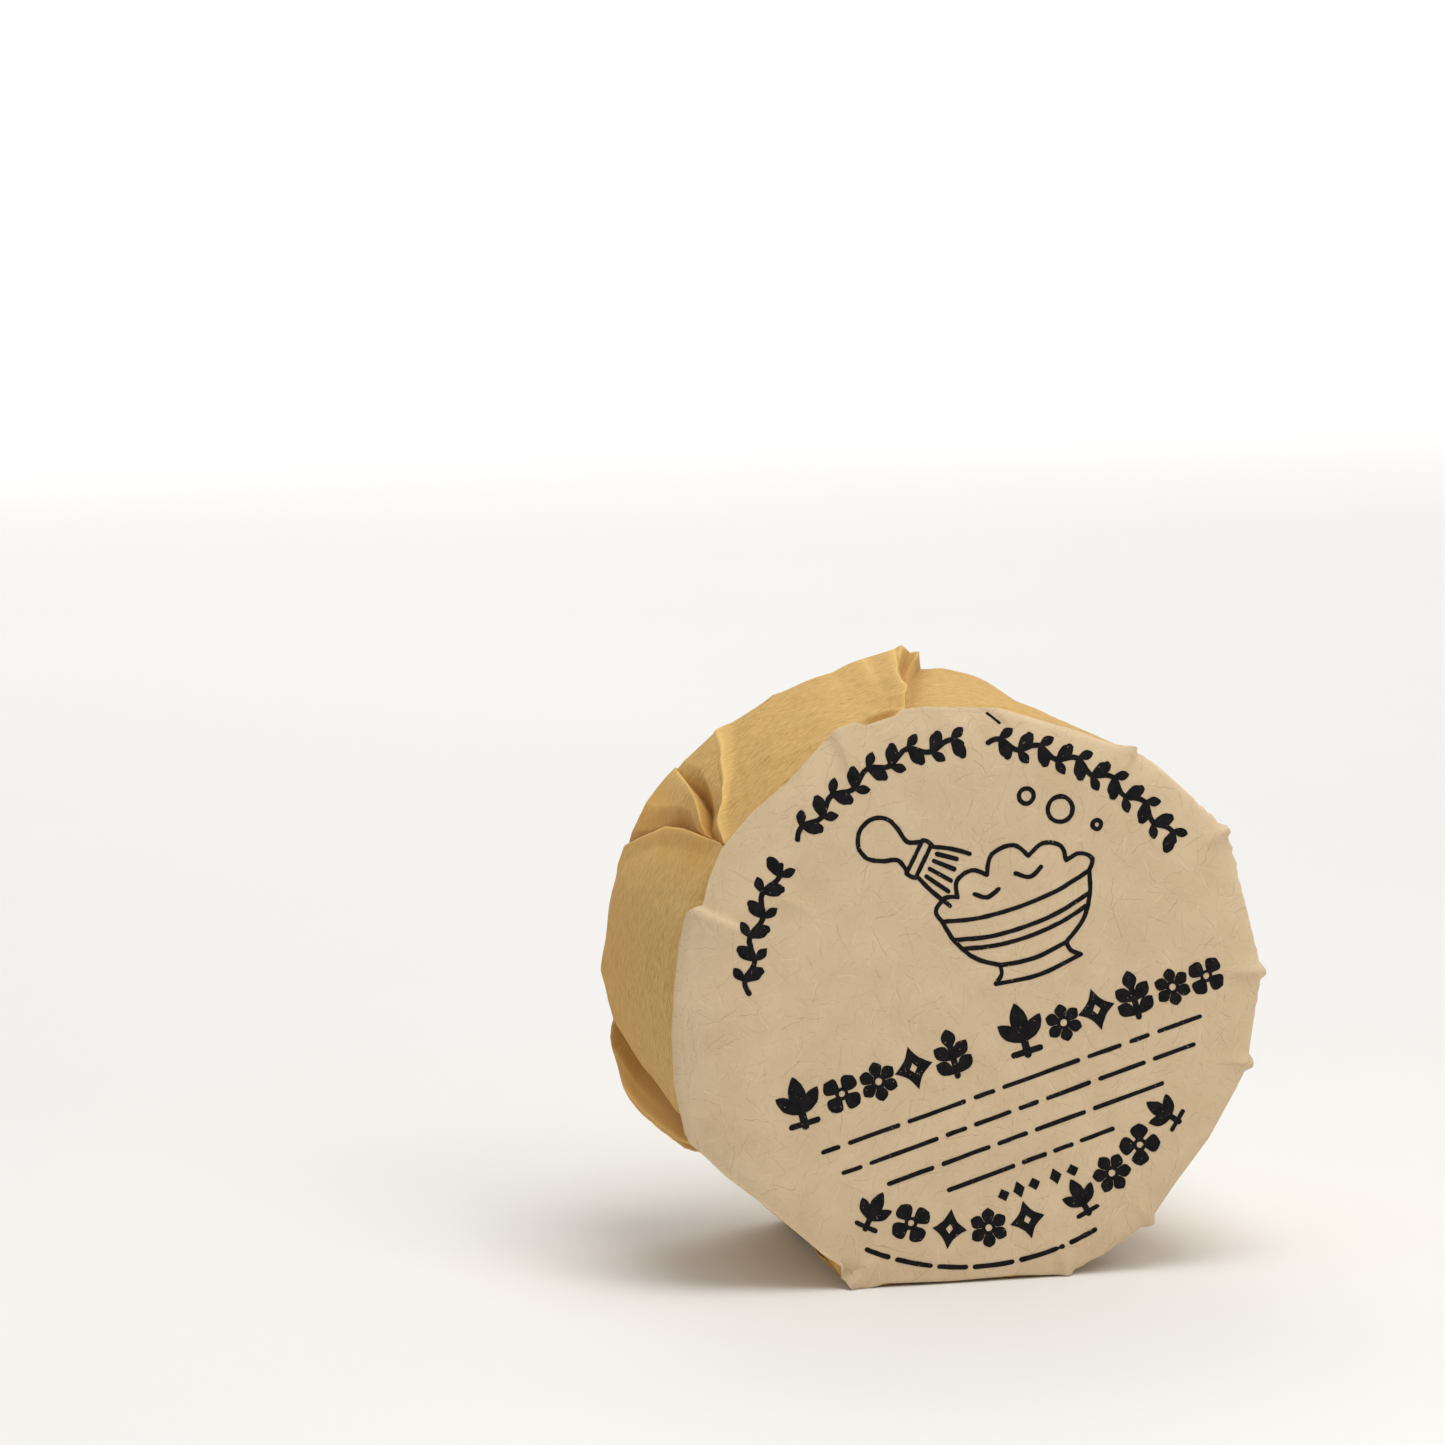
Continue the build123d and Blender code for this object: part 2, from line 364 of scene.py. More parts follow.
# Corners of the wrapper's wall: angle and radius at the front rim, then at the back rim. Angles run from +u
# towards +w, as seen from the front.
WALL_CORNERS = (
    (2.5, 29.2, 6.0, 29.3),
    (30.0, 29.9, 32.0, 29.6),
    (50.0, 28.8, 54.0, 28.8),
    (66.0, 28.0, 62.0, 28.1),
    (82.0, 27.9, 70.0, 29.1),
    (102.0, 28.4, 86.0, 29.7),
    (118.0, 28.6, 104.0, 28.9),
    (132.0, 28.4, 115.0, 28.8),
    (146.0, 28.6, 126.2, 29.2),
    (149.0, 28.6, 140.0, 29.2),
    (153.0, 28.5, 157.0, 29.5),
    (164.0, 28.7, 167.0, 29.6),
    (180.0, 28.6, 180.0, 30.0),
    (195.0, 29.0, 191.0, 29.4),
    (207.0, 29.4, 206.0, 29.0),
    (226.0, 27.9, 226.0, 27.5),
    (238.0, 28.0, 238.0, 27.3),
    (246.0, FOOT / math.sin(math.radians(246)), 248.0, FOOT / math.sin(math.radians(248))),
    (289.0, FOOT / math.sin(math.radians(289)), 287.0, FOOT / math.sin(math.radians(287))),
    (308.0, 28.7, 310.0, 29.0),
    (344.0, 28.7, 346.0, 29.2),
)
WALL_END = 35.4             # depth of the back rim
BACK_PLANE = SOAP_BACK + 0.18
FRONT_BEND = 0.7
BACK_BEND = 2.2
GATHER_RADIUS = 5.0
BACK_REACH = 24.0           # sheet from the back rim to the gathers


def fold_line(*stations, glow=0.0):
    """A crease of the sheet: (distance along the wall and back, angle, height) from the front rim onwards.

    Light comes through the paper at a fold line that glows; a negative glow is a line deep in shade."""
    return np.array([(*station, glow) for station in stations], float)


def plain_pleat(front, back, spread, lift, onto=1, inner=None):
    """An ordinary pleat, lapped over its neighbour on one side. Its fold lines, in order of angle."""
    inner = back if inner is None else inner
    rim, end = WALL_END, WALL_END + BACK_REACH

    def line(offset_rim, offset_end, height_rim, height_end):
        return fold_line(
            (0, front + 0.04 * offset_rim * onto, 0),
            (rim * 0.5, (front + back) / 2 + 0.5 * offset_rim * onto, 0.55 * height_rim),
            (rim, back + offset_rim * onto, height_rim),
            (rim + 6, back * 0.8 + inner * 0.2 + (0.8 * offset_rim + 0.2 * offset_end) * onto, height_end),
            (end, inner + offset_end * onto, height_end),
        )

    lines = [
        line(-4.0, -6.0, 0.0, 0.05),
        line(0.0, 0.0, 0.45 * lift, 0.40),
        line(spread, spread * 2.1, lift, 0.62),
        line(spread * 0.15, spread * 0.3, 0.40 * lift, 0.34),
        line(spread * 0.15, spread * 0.3, 0.15 * lift, 0.16),
        line(spread + 4.0, spread * 2.1 + 4.0, 0.0, 0.05),
    ]
    return lines if onto > 0 else lines[::-1]


def top_left_pleat():
    """The large open pleat at the upper left: two facets between the upper panel and the lapping left panel."""
    return [
        fold_line((0, 144.2, 0), (8, 140.6, 0), (18, 131.8, 0), (27, 126.8, 0), (36, 123.0, 0), (42, 122, 0.05),
                  (60, 116, 0.05)),
        fold_line((0, 146.0, 0.05), (2.4, 145.5, 0.2), (8, 143.1, 0.3), (10.6, 139.5, 0.3), (18, 134.5, 0.3),
                  (27, 129.6, 0.3), (36, 126.5, 0.3), (42, 126, 0.35), (60, 124, 0.35), glow=1),
        fold_line((0, 146.1, 0), (2.4, 145.9, 0), (8, 143.9, 0), (10.6, 140.5, -0.05), (18, 135.7, -0.1),
                  (27, 130.8, 0.05), (36, 127.6, 0.15), (42, 127, 0.25), (60, 126, 0.3)),
        fold_line((0, 146.2, 0), (10, 145.1, -0.5), (13.4, 142.2, -0.8), (17, 139.6, -0.3), (21.5, 137.4, -0.2),
                  (27, 135.8, 0.05), (32, 136.0, 0.15), (36, 136.2, 0.2), (42, 136, 0.2), (60, 138, 0.15)),
        fold_line((0, 146.3, 0), (10, 146.2, -0.8), (13.4, 144.6, -1.4), (17, 142.6, -1.6), (21.5, 141.0, -1.5),
                  (27, 140.2, -1.0), (32, 139.2, -0.1), (36, 138.2, 0.2), (42, 141, 0.1), (60, 146, 0.1)),
        fold_line((0, 146.4, 0), (9, 146.2, 0.3), (13.4, 143.8, 0.6), (18, 141.5, 0.9), (22, 140.1, 0.9),
                  (28, 139.2, 0.7), (33, 138.4, 0.35), (36, 137.8, 0.3), (42, 136.5, 0.7), (60, 131, 0.6)),
        fold_line((0, 146.5, 0), (9, 146.6, 0.2), (14, 146.3, 0.1), (18, 143.6, 0.35), (24, 144.6, 0.55),
                  (30, 146.5, 0.6), (33.5, 147.0, 0.55), (36, 147.0, 0.4), (42, 149, 0.4), (60, 146, 0.5)),
        fold_line((0, 146.6, 0), (9, 147.2, 0), (14, 147.2, -0.7), (20, 148.0, -1.0), (27, 150.6, -0.4),
                  (31.6, 152.6, 0.2), (36, 154.0, 0.3), (42, 156, 0.2), (60, 152, 0.35), glow=-0.35),
        fold_line((0, 146.7, 0), (5, 147.5, -0.2), (14, 149.0, -1.6), (20, 150.6, -1.8), (27, 154.0, -1.5),
                  (32, 157.2, -0.8), (36, 160.0, -0.1), (42, 162, 0.1), (60, 166, 0.15), glow=-1),
        fold_line((0, 146.8, 0), (2.4, 146.1, 0.2), (9.5, 147.0, 0.8), (14.5, 147.5, 1.0), (21, 149.0, 0.9),
                  (26.7, 152.1, 0.6), (32.3, 155.7, 0.25), (36, 158.6, 0.1), (42, 157, 0.5), (60, 149, 0.65)),
        fold_line((0, 148.6, 0), (14, 151.5, 0.35), (22, 153.5, 0.4), (36, 162.5, 0.05), (42, 164, 0.3), (60, 168, 0.3)),
    ]


def top_pleat():
    """The pleat at the top, whose corner stands up behind as a small open ear."""
    return [
        fold_line((0, 98.5, 0), (8, 93.5, 0), (22, 86.0, 0), (30, 81.0, 0), (36, 76.0, 0), (42, 72, 0.05), (60, 62, 0.05)),
        fold_line((0, 101.5, 0), (8, 97.6, -0.5), (22, 90.8, -0.9), (30, 85.2, -0.9), (34, 82.6, -0.4), (38, 80.5, -0.1),
                  (42, 78, 0.3), (60, 71, 0.35)),
        fold_line((0, 101.8, 0), (8, 98.2, -0.5), (22, 91.6, -0.8), (26, 89.4, -0.4), (30, 86.2, 0.3), (33, 83.6, 1.2),
                  (35.4, 82.6, 1.7), (38, 82.0, 1.0), (42, 80, 0.2), (60, 71, 0.15)),
        fold_line((0, 102.0, 0), (8, 98.8, -0.4), (22, 92.2, -0.8), (26, 90.4, -0.6), (30, 87.8, -0.3), (33, 85.4, 0.6),
                  (35.4, 84.2, 1.9), (38, 83.6, 1.0), (42, 82, 0.2), (60, 77, 0.10), glow=-0.6),
        fold_line((0, 102.2, 0), (8, 98.9, 0), (22, 92.5, 0.2), (26, 91.1, 0.5), (30, 88.9, 1.0), (33, 87.2, 1.6),
                  (35.4, 85.9, 2.2), (38, 85.2, 1.4), (42, 86, 0.5), (60, 86, 0.05)),
        fold_line((0, 102.6, 0.05), (7.3, 99.0, 0.6), (11, 96.4, 0.9), (14.3, 96.0, 1.1), (19, 94.6, 0.9),
                  (24.3, 91.9, 1.1), (30, 89.7, 1.2), (35.4, 87.6, 1.4), (38, 86.8, 0.7), (42, 88, 0.3), (60, 88, 0.05)),
        fold_line((0, 104.6, 0), (23, 97.5, 0.5), (30, 95.5, 0.8), (36, 94.0, 0.9), (42, 93, 0.3), (60, 93, 0.05)),
        fold_line((0, 107.6, 0), (23, 103.5, 0.1), (36, 100.5, 0.3), (42, 99, 0.05), (60, 98, 0.05)),
    ]


def low_left_pleat():
    """The flap at the lower left: a dark valley, then a collar of paper that stands proud towards the back."""
    return [
        fold_line((0, 203.0, 0), (12, 203.0, 0), (19, 200.0, 0), (25, 198.0, 0), (30, 194.0, 0), (33, 188.0, 0.1),
                  (36, 180.0, 0), (42, 182, 0.05), (60, 182, 0.05)),
        fold_line((0, 205.0, -0.2), (6, 206.3, -0.9), (12, 207.0, -1.4), (19, 204.8, -1.4), (25, 203.4, -1.2),
                  (30, 200.6, -1.1), (33, 194.0, -0.5), (36, 186.0, 0.1), (42, 188, 0.1), (60, 186, 0.2), glow=-1),
        fold_line((0, 205.6, -0.1), (6, 206.6, -0.1), (12, 207.4, -0.3), (19, 206.2, 0), (25, 205.6, 0.4),
                  (30, 203.6, 0.7), (33, 197.0, 1.1), (36, 188.5, 0.6), (42, 196, 0.7), (60, 204, 0.6), glow=-0.55),
        fold_line((0, 206.0, 0.1), (6, 206.9, 0.7), (12, 207.8, 1.1), (20, 207.6, 1.5), (27, 207.4, 1.7),
                  (33, 204.4, 1.7), (36, 201.5, 1.4), (42, 205, 0.7), (60, 205, 0.5)),
        fold_line((0, 206.2, 0.1), (6, 207.3, 0.7), (12, 208.3, 1.2), (20, 208.7, 1.6), (27, 209.4, 1.9),
                  (33, 210.6, 2.0), (36, 211.0, 1.6), (42, 208, 0.7), (60, 203, 0.5)),
        fold_line((0, 206.4, 0), (6, 208.0, 0.1), (12, 209.2, 0.4), (20, 210.1, 0.7), (27, 211.2, 1.0),
                  (33, 212.3, 1.4), (36, 212.8, 1.4), (42, 209, 0.6), (60, 199, 0.45)),
        fold_line((0, 206.8, 0.1), (6, 208.6, 0.8), (12, 210.1, 1.3), (21, 211.5, 1.6), (27, 212.5, 1.8),
                  (33, 213.5, 1.9), (36, 214.2, 1.5), (42, 211, 0.5), (60, 196, 0.4)),
        fold_line((0, 207.4, 0), (6, 209.6, 0.1), (12, 211.4, 0.3), (21, 212.8, 0.4), (33, 215.5, 0.4), (36, 216.5, 0.4),
                  (42, 214, 0.2), (60, 196, 0.15)),
        fold_line((0, 211.5, 0), (12, 216.0, 0.0), (36, 223.0, 0.0), (42, 222, 0.05), (60, 220, 0.05)),
    ]


PLEATS = (
    plain_pleat(14.0, 16.0, 16.0, 0.9, onto=1, inner=8.0),
    plain_pleat(38.0, 35.0, 13.0, 0.9, onto=1, inner=30.0),
    top_pleat(),
    top_left_pleat(),
    low_left_pleat(),
    plain_pleat(244.5, 244.0, 13.0, 0.9, onto=-1, inner=250.0),
    plain_pleat(296.0, 292.0, 16.0, 0.8, onto=1, inner=282.0),
    plain_pleat(330.0, 332.0, 15.0, 1.0, onto=1, inner=326.0),
)


def wall_radius(angle, along):
    """Distance from the axis to the wall: straight between the corners, which are slightly rounded."""
    share = np.clip(along / WALL_END, 0, 1)
    corners = np.array(WALL_CORNERS)
    angles = corners[:, 0] + (corners[:, 2] - corners[:, 0]) * share
    radii = corners[:, 1] + (corners[:, 3] - corners[:, 1]) * share
    u = np.cos(np.radians(angles)) * radii
    w = np.sin(np.radians(angles)) * radii
    total = np.zeros(len(angle))
    blur = (-2.4, -1.2, 0.0, 1.2, 2.4)
    for step in blur:
        turn = (angle + step) % 360
        after = np.searchsorted(angles, turn) % len(angles)
        before = after - 1
        du, dw = u[after] - u[before], w[after] - w[before]
        c, s = np.cos(np.radians(turn)), np.sin(np.radians(turn))
        total += (u[before] * dw - w[before] * du) / (c * dw - s * du)
    return total / len(blur)


def pleat_controls(along):
    """Angle, height and glow of every fold line, all the way round, at one distance along the sheet."""
    lines = [line for pleat in PLEATS for line in pleat]
    return [np.array([np.interp(along, line[:, 0], line[:, n]) for line in lines]) for n in (1, 2, 3)]


FOLD_STEPS = 6              # mesh columns from one fold line to the next inside a pleat
PANEL_STEP = 1.1            # degrees between mesh columns on the panels


def column_layout():
    """For each mesh column: the fold lines before and after it, and how far it is between them."""
    layout = []
    angles, _, _ = pleat_controls(WALL_END * 0.5)
    ends = np.cumsum([len(pleat) for pleat in PLEATS]) - 1
    for index in range(len(angles)):
        gap = (angles[(index + 1) % len(angles)] - angles[index]) % 360
        steps = max(4, round(gap / PANEL_STEP)) if index in ends else FOLD_STEPS
        shares = [k / steps for k in range(steps)]
        if index not in ends:
            shares = [0.75 * smoothstep(k) + 0.25 * k for k in shares]
        layout += [(index, (index + 1) % len(angles), float(k)) for k in shares]
    return layout


def sheet_rows():
    """The sheet's stations from the face to the gathers: (kind, distance along, own measure)."""
    rows = [("face", 0.0, inset) for inset in (5.0, 3.4, 2.2, 1.4)]
    rows += [("front_bend", 0.0, q) for q in (0.0, 0.33, 0.66)]
    rows += [("wall", d, d) for d in np.linspace(FRONT_BEND, WALL_END - BACK_BEND, 44)]
    rows += [("back_bend", WALL_END - BACK_BEND + BACK_BEND * 1.3 * q, q) for q in (0.2, 0.4, 0.6, 0.8)]
    rows += [("back", WALL_END + 0.7 + s, s) for s in np.linspace(0, 21.0, 26)]
    return rows


def make_wrapper(material):
    """One sheet, folded: its columns follow the fold lines, so every pleat is real lapped paper."""
    layout = column_layout()
    before = np.array([c[0] for c in layout])
    after = np.array([c[1] for c in layout])
    part = np.array([c[2] for c in layout])
    rows = sheet_rows()
    grid, fold_highlights, hollows, warms, sheet, wall = [], [], [], [], [], []
    for kind, along, own in rows:
        angles, heights, glows = pleat_controls(along)
        first, second = angles[before], angles[after]
        second = np.where(after < before, second + 360, second)
        angle = first + (second - first) * part
        height = heights[before] + (heights[after] - heights[before]) * part
        base = wall_radius(angle % 360, along)
        if kind == "face":
            radius, depth, out, back = base - own, WRAP_DEPTH, 0.0, 0.0
        elif kind == "front_bend":
            turn = math.radians(90 * own)
            radius = base - FRONT_BEND * (1 - math.sin(turn))
            depth, out, back = WRAP_DEPTH + FRONT_BEND * (1 - math.cos(turn)), math.sin(turn), 0.0
        elif kind == "wall":
            radius, depth, out, back = base, WRAP_DEPTH + own, 1.0, 0.0
        elif kind == "back_bend":
            turn = math.radians(90 * own)
            radius = base - BACK_BEND * (1 - math.cos(turn))
            depth = BACK_PLANE - BACK_BEND * (1 - math.sin(turn))
            out, back = math.cos(turn), math.sin(turn)
        else:
            start = base - BACK_BEND
            radius = start + (GATHER_RADIUS - start) * own / 21.0
            depth, out, back = BACK_PLANE, 0.0, 1.0
        u, w = np.cos(np.radians(angle)), np.sin(np.radians(angle))
        where = np.stack([u * radius, w * radius, np.full(len(u), depth)], axis=-1)
        creased = (1 - np.abs(smooth_noise(where, 9.0, 5))) ** 9
        crumple = 0.24 * smooth_noise(where, 9.0, 3) + 0.10 * smooth_noise(where, 3.2, 4) + 0.24 * creased - 0.08
        ramp = min(1.0, along / 4) if kind in ("wall", "front_bend") else (0.3 if kind == "face" else 1.0)
        ramp = 0.0 if kind == "face" else ramp * (1 - 0.85 * np.exp(-((angle - 208) / 9) ** 4))
        lift = height + crumple * ramp * (0.7 if kind == "back" else 1.0)
        if kind == "wall":
            lip = np.exp(-((angle - 106.5) / 4.2) ** 4)
            lift = lift + 0.75 * lip * float(smoothstep((own - 0.9) / 0.8) * smoothstep((7 - own) / 4.5))
        proud = np.minimum(lift, 0.75) * back
        u, w, d = u * (radius + lift * out), w * (radius + lift * out), depth + proud
        follow = {"face": 1.0, "front_bend": 1.0, "wall": max(0.0, 1 - (own - FRONT_BEND) / 6) ** 2}.get(kind, 0)
        if follow:
            d = d - follow * face_lift(u, w, under=True)
        arch = smoothstep((u + 10.5) / 3) * smoothstep((9 - u) / 4) * float(np.clip(1 - (np.mean(d) - 0.4) / 2, 0, 1))
        w = np.maximum(w, FOOT + 0.3 * arch)
        grid.append(place(u, w, d))
        if kind in ("front_bend", "wall") and depth < 6:
            turn = np.degrees(np.arctan2(w, u)) % 360
            reach = np.hypot(u, w)
            apart = np.abs((turn[None] - np.arange(360)[:, None] + 180) % 360 - 180)
            wall.append((float(np.mean(d)), [reach[near < max(1.2, near.min() + 0.3)].max() for near in apart]))
        # Light and shade painted into the colour, per point: a highlight along raised fold lines and glowing ones,
        # shade in the recesses, on fold lines deep in shade and in the gap at the lip, and orange light on the left
        # side and the flaps.
        near = 1 - np.minimum(part, 1 - part) * 2
        crease = np.clip(near, 0, 1) ** 3 * np.clip(height, 0, 1) * 1.2
        fold_highlights.append(np.clip(crease, 0, 1) + 1.1 * np.clip(glows[before] + (glows[after] - glows[before]) * part, 0, 1)
                     * min(1, along / 2))
        # Painted shadow: a brown line where the wrapper's lip stands off the label's upper edge.
        gap = np.exp(-((angle - 106.5) / 3.6) ** 4) * (
            1.0 if kind == "front_bend" else min(1.0, max(0.0, 2.2 - 0.7 * own)) if kind == "wall" else 0.0)
        glow = glows[before] + (glows[after] - glows[before]) * part
        shade = np.clip(-glow, 0, 1) * min(1, along / 8) * float(np.clip((46 - along) / 8, 0, 1))
        hollows.append(np.maximum(np.clip(-height * 0.9 - 0.1, 0, 1), shade) + 0.9 * gap)
        # Painted orange light on the shaded left side and on the flaps.
        side = np.exp(-((angle - 186) / 30) ** 2) * float(smoothstep((along - 12) / 22))
        flap = np.exp(-((angle - 209) / 7) ** 4) + 0.55 * np.exp(-((angle - 149) / 6) ** 4)
        warms.append(np.clip(0.5 * side + flap * min(1, along / 8), 0, 1) * (1 if along < 44 else 0.4))
        sheet.append(np.stack([angle * math.pi / 180 * 28.0 * MM, np.full(len(u), along + own * 0.0) * MM,
                               np.zeros(len(u))], axis=-1))
    columns = len(layout)
    points = np.concatenate(grid)
    faces = []
    for i in range(len(rows) - 1):
        for j in range(columns):
            k = (j + 1) % columns
            faces.append((i * columns + j, (i + 1) * columns + j, (i + 1) * columns + k, i * columns + k))
    # The middle of the front panel, flat behind the label
    ring = points[:columns]
    ring_uw = np.stack([(ring[:, 0] - AXIS.x) / MM, (ring[:, 2] - AXIS.z) / MM], axis=-1)
    flat, triangles = fill_outline([ring_uw], 1.3)
    extra = flat[columns:]
    start = len(points)
    points = np.concatenate([points, place(extra[:, 0], extra[:, 1],
                                           WRAP_DEPTH - face_lift(extra[:, 0], extra[:, 1], under=True))])
    faces += [tuple(i if i < columns else start + i - columns for i in t) for t in triangles]
    thing = make_object("wrapper", points, faces, material)
    spare = len(points) - start
    add_attribute(thing, "fold", np.concatenate([*fold_highlights, np.zeros(spare)]))
    add_attribute(thing, "hollow", np.concatenate([*hollows, np.zeros(spare)]))
    add_attribute(thing, "painted_warm_light", np.concatenate([*warms, np.zeros(spare)]))
    layer = thing.data.attributes.new("sheet", "FLOAT_VECTOR", "POINT")
    flat_sheet = np.concatenate([*sheet, np.zeros((spare, 3))])
    layer.data.foreach_set("vector", flat_sheet.astype(np.float32).ravel())
    thicken(thing, PAPER_THICK, -1)
    depths = np.array([row[0] for row in wall])
    table = np.array([row[1] for row in wall])

    def wall_outside(angle, depth):
        """The furthest that the wrapper's wall stands from the axis, near its front rim."""
        at = np.array([np.interp(np.clip(d, depths[0], depths[-1]), depths, table[:, int(a) % 360])
                       for a, d in zip(angle, depth)])
        return np.where(depth < depths[0], 0, at)

    return thing, wall_outside, points


# ---------------------------------------------------------------- flat outlines


def inside(points, loop):
    """Which points are inside a closed outline."""
    x, y = points[:, 0], points[:, 1]
    within = np.zeros(len(points), bool)
    ax, ay = loop[:, 0], loop[:, 1]
    bx, by = np.roll(ax, -1), np.roll(ay, -1)
    near = (x >= ax.min()) & (x <= ax.max()) & (y >= ay.min()) & (y <= ay.max())
    index = np.nonzero(near)[0]
    for a, b, c, d in zip(ax, ay, bx, by):
        if b == d:
            continue
        hit = ((b > y[index]) != (d > y[index])) & (x[index] < (c - a) * (y[index] - b) / (d - b) + a)
        within[index[hit]] ^= True
    return within


def in_shape(points, loops, holes):
    """Which points are in any of the outlines and in none of the holes."""
    keep = np.zeros(len(points), bool)
    for loop in loops:
        keep |= inside(points, loop)
    for loop in holes:
        keep &= ~inside(points, loop)
    return keep


def clear_of(points, others, gap):
    """The points that are no nearer than gap to any of the others."""
    near = np.ones(len(points), bool)
    for start in range(0, len(others), 64):
        apart = points[:, None] - others[None, start:start + 64]
        near &= (np.hypot(apart[..., 0], apart[..., 1]) > gap).all(1)
    return points[near]


def fill_outline(loops, spacing, holes=(), extra=None):
    """Triangles that fill the outlines but not the holes, with inner points about spacing apart.

    Extra points are kept as well. The outlines' own points come first, in order, unless outlines cross."""
    edge_points = np.concatenate([*loops, *holes])
    edges, start = [], 0
    for loop in [*loops, *holes]:
        n = len(loop)
        edges += [(start + i, start + (i + 1) % n) for i in range(n)]
        start += n
    low, high = edge_points.min(0), edge_points.max(0)
    across = np.arange(low[0], high[0], spacing)
    up = np.arange(low[1], high[1], spacing * 0.866)
    grid = np.array([(x + (row % 2) * spacing / 2, y) for row, y in enumerate(up) for x in across]).reshape(-1, 2)
    if extra is not None:
        extra = extra[in_shape(extra, loops, holes)]
        extra = clear_of(extra, edge_points, spacing * 0.2)
        grid = np.concatenate([extra, clear_of(grid, extra, spacing * 0.4)]) if len(extra) else grid
    grid = grid[in_shape(grid, loops, holes)] if len(grid) else grid
    grid = clear_of(grid, edge_points, spacing * 0.3) if len(grid) else grid
    points = np.concatenate([edge_points, grid]) if len(grid) else edge_points
    result = delaunay_2d_cdt([Vector(p) for p in points], edges, [], 0, 1e-7, True)
    made = np.array([tuple(p) for p in result[0]])
    origin = np.array([ids[0] if ids else -1 for ids in result[3]])
    triangles = np.array([tuple(f) for f in result[2]])
    triangles = triangles[in_shape(made[triangles].mean(1), loops, holes)]
    order = np.full(len(points), -1)
    order[origin[origin >= 0]] = np.nonzero(origin >= 0)[0]
    if (order >= 0).all() and len(made) == len(points):
        back = np.empty(len(made), int)
        back[order] = np.arange(len(points))
        return points, back[triangles]
    return made, triangles


# ---------------------------------------------------------------- the label


# Creases in the label's face, from the rim inwards: start (u, w), end (u, w), height towards the viewer, and
# how far the crease spreads on its +u or upper side and on the other
FACE_CREASES = (
    ((-27.6, 10.3), (-20.6, 7.2), 1.05, (0.5, 3.4)),
    ((-18.5, 10.8), (-15.0, 9.0), 0.25, (1.6, 1.6)),
    ((-13.4, 27.6), (-11.0, 20.4), 0.60, (3.2, 0.9)),
    ((1.9, 28.9), (4.4, 26.0), 0.55, (1.5, 0.35)),
    ((-3.0, 28.6), (0.6, 24.0), 0.25, (1.8, 1.8)),
    ((26.9, 16.0), (22.6, 13.7), 0.60, (0.7, 1.5)),
    ((29.7, 1.3), (24.2, 1.6), 0.65, (0.8, 1.8)),
    ((28.2, -7.8), (24.4, -6.9), 0.55, (0.6, 1.4)),
    ((16.6, 23.9), (14.2, 20.4), 0.50, (0.7, 1.5)),
    ((9.2, -27.6), (8.0, -23.4), 0.50, (0.7, 1.4)),
    ((17.9, -22.9), (15.6, -19.9), 0.40, (0.7, 1.3)),
    ((-12.6, -27.4), (-9.6, -24.0), 0.85, (0.9, 1.3)),
    ((-13.4, -25.8), (-10.6, -25.4), -0.9, (0.9, 1.0)),
    ((-28.5, -10.5), (-22.5, -8.6), 0.40, (1.4, 2.2)),
    ((-28.9, 0.5), (-23.5, 1.6), 0.22, (1.6, 2.0)),
)
# The label's outline, as angle and radius, and the ears where its margin pinches: angle and height
LABEL_OUTLINE = ((2.5, 29.1), (12, 28.9), (22, 29.1), (30.6, 29.6), (41, 29.2), (48, 29.0), (55.5, 28.5), (61, 28.0),
                 (72, 27.7), (84, 28.3), (98, 28.8), (103, 29.1), (104.2, 28.7), (110.5, 28.8), (112, 29.5), (116, 29.7), (129, 28.2), (138, 28.6), (147, 28.9),
                 (153, 28.6), (158, 28.2), (159.6, 29.2), (162, 29.2), (167, 28.9), (177, 28.8), (184, 29.1), (193, 29.6),
                 (204, 30.3), (213, 29.0), (221, 28.0), (238, 28.2), (243.4, 28.5), (244.6, 29.7), (246.3, 30.2),
                 (248.5, 29.9), (252, 28.5), (259, 27.7), (266, 27.3), (279, 27.4), (284, 28.1), (289, 28.8),
                 (297, 29.0), (308, 28.9), (317, 28.0), (328, 28.1), (339, 28.5), (344.6, 28.9), (356, 28.7))
LABEL_EARS = ((2.5, 0.8), (30.6, 0.9), (55.5, 0.7), (116.0, 0.2), (204.0, 0.2),
              (289.0, 0.5), (308.0, 0.4), (344.6, 0.6))
# Zones of the margin: from, to, how far it turns back in degrees, and how wide it is
MARGINS = ((84, 118, 26, 0.5), (118, 159, 5, 0.3), (159, 206, 44, 1.7), (206, 249, 5, 0.3), (249, 289, 40, 0.5),
           (289, 344, 84, 1.9), (344, 360, 84, 2.2), (0, 56, 84, 2.3), (56, 84, 55, 1.1))
LABEL_COLUMNS = 480
MARGIN_ROWS = 9


def chord_radius(angle, corners):
    """Radius of the straight-sided outline through corners given as (angle, radius)."""
    table = np.array(corners, float)
    angles, radii = table[:, 0], table[:, 1]
    u, w = np.cos(np.radians(angles)) * radii, np.sin(np.radians(angles)) * radii
    turn = np.asarray(angle) % 360
    after = np.searchsorted(angles, turn) % len(angles)
    before = after - 1
    du, dw = u[after] - u[before], w[after] - w[before]
    c, s = np.cos(np.radians(turn)), np.sin(np.radians(turn))
    return (u[before] * dw - w[before] * du) / (c * dw - s * du)


def blend_round(angle, rule, reach):
    """Averages a rule of the angle over a few degrees each side."""
    steps = np.linspace(-reach, reach, 7)
    return sum(rule(angle + step) for step in steps) / len(steps)


def margin_zone(angle, column):
    where = np.asarray(angle) % 360
    value = np.zeros(where.shape)
    for zone in MARGINS:
        value = np.where((where >= zone[0]) & (where <= zone[1]), zone[column], value)
    return value


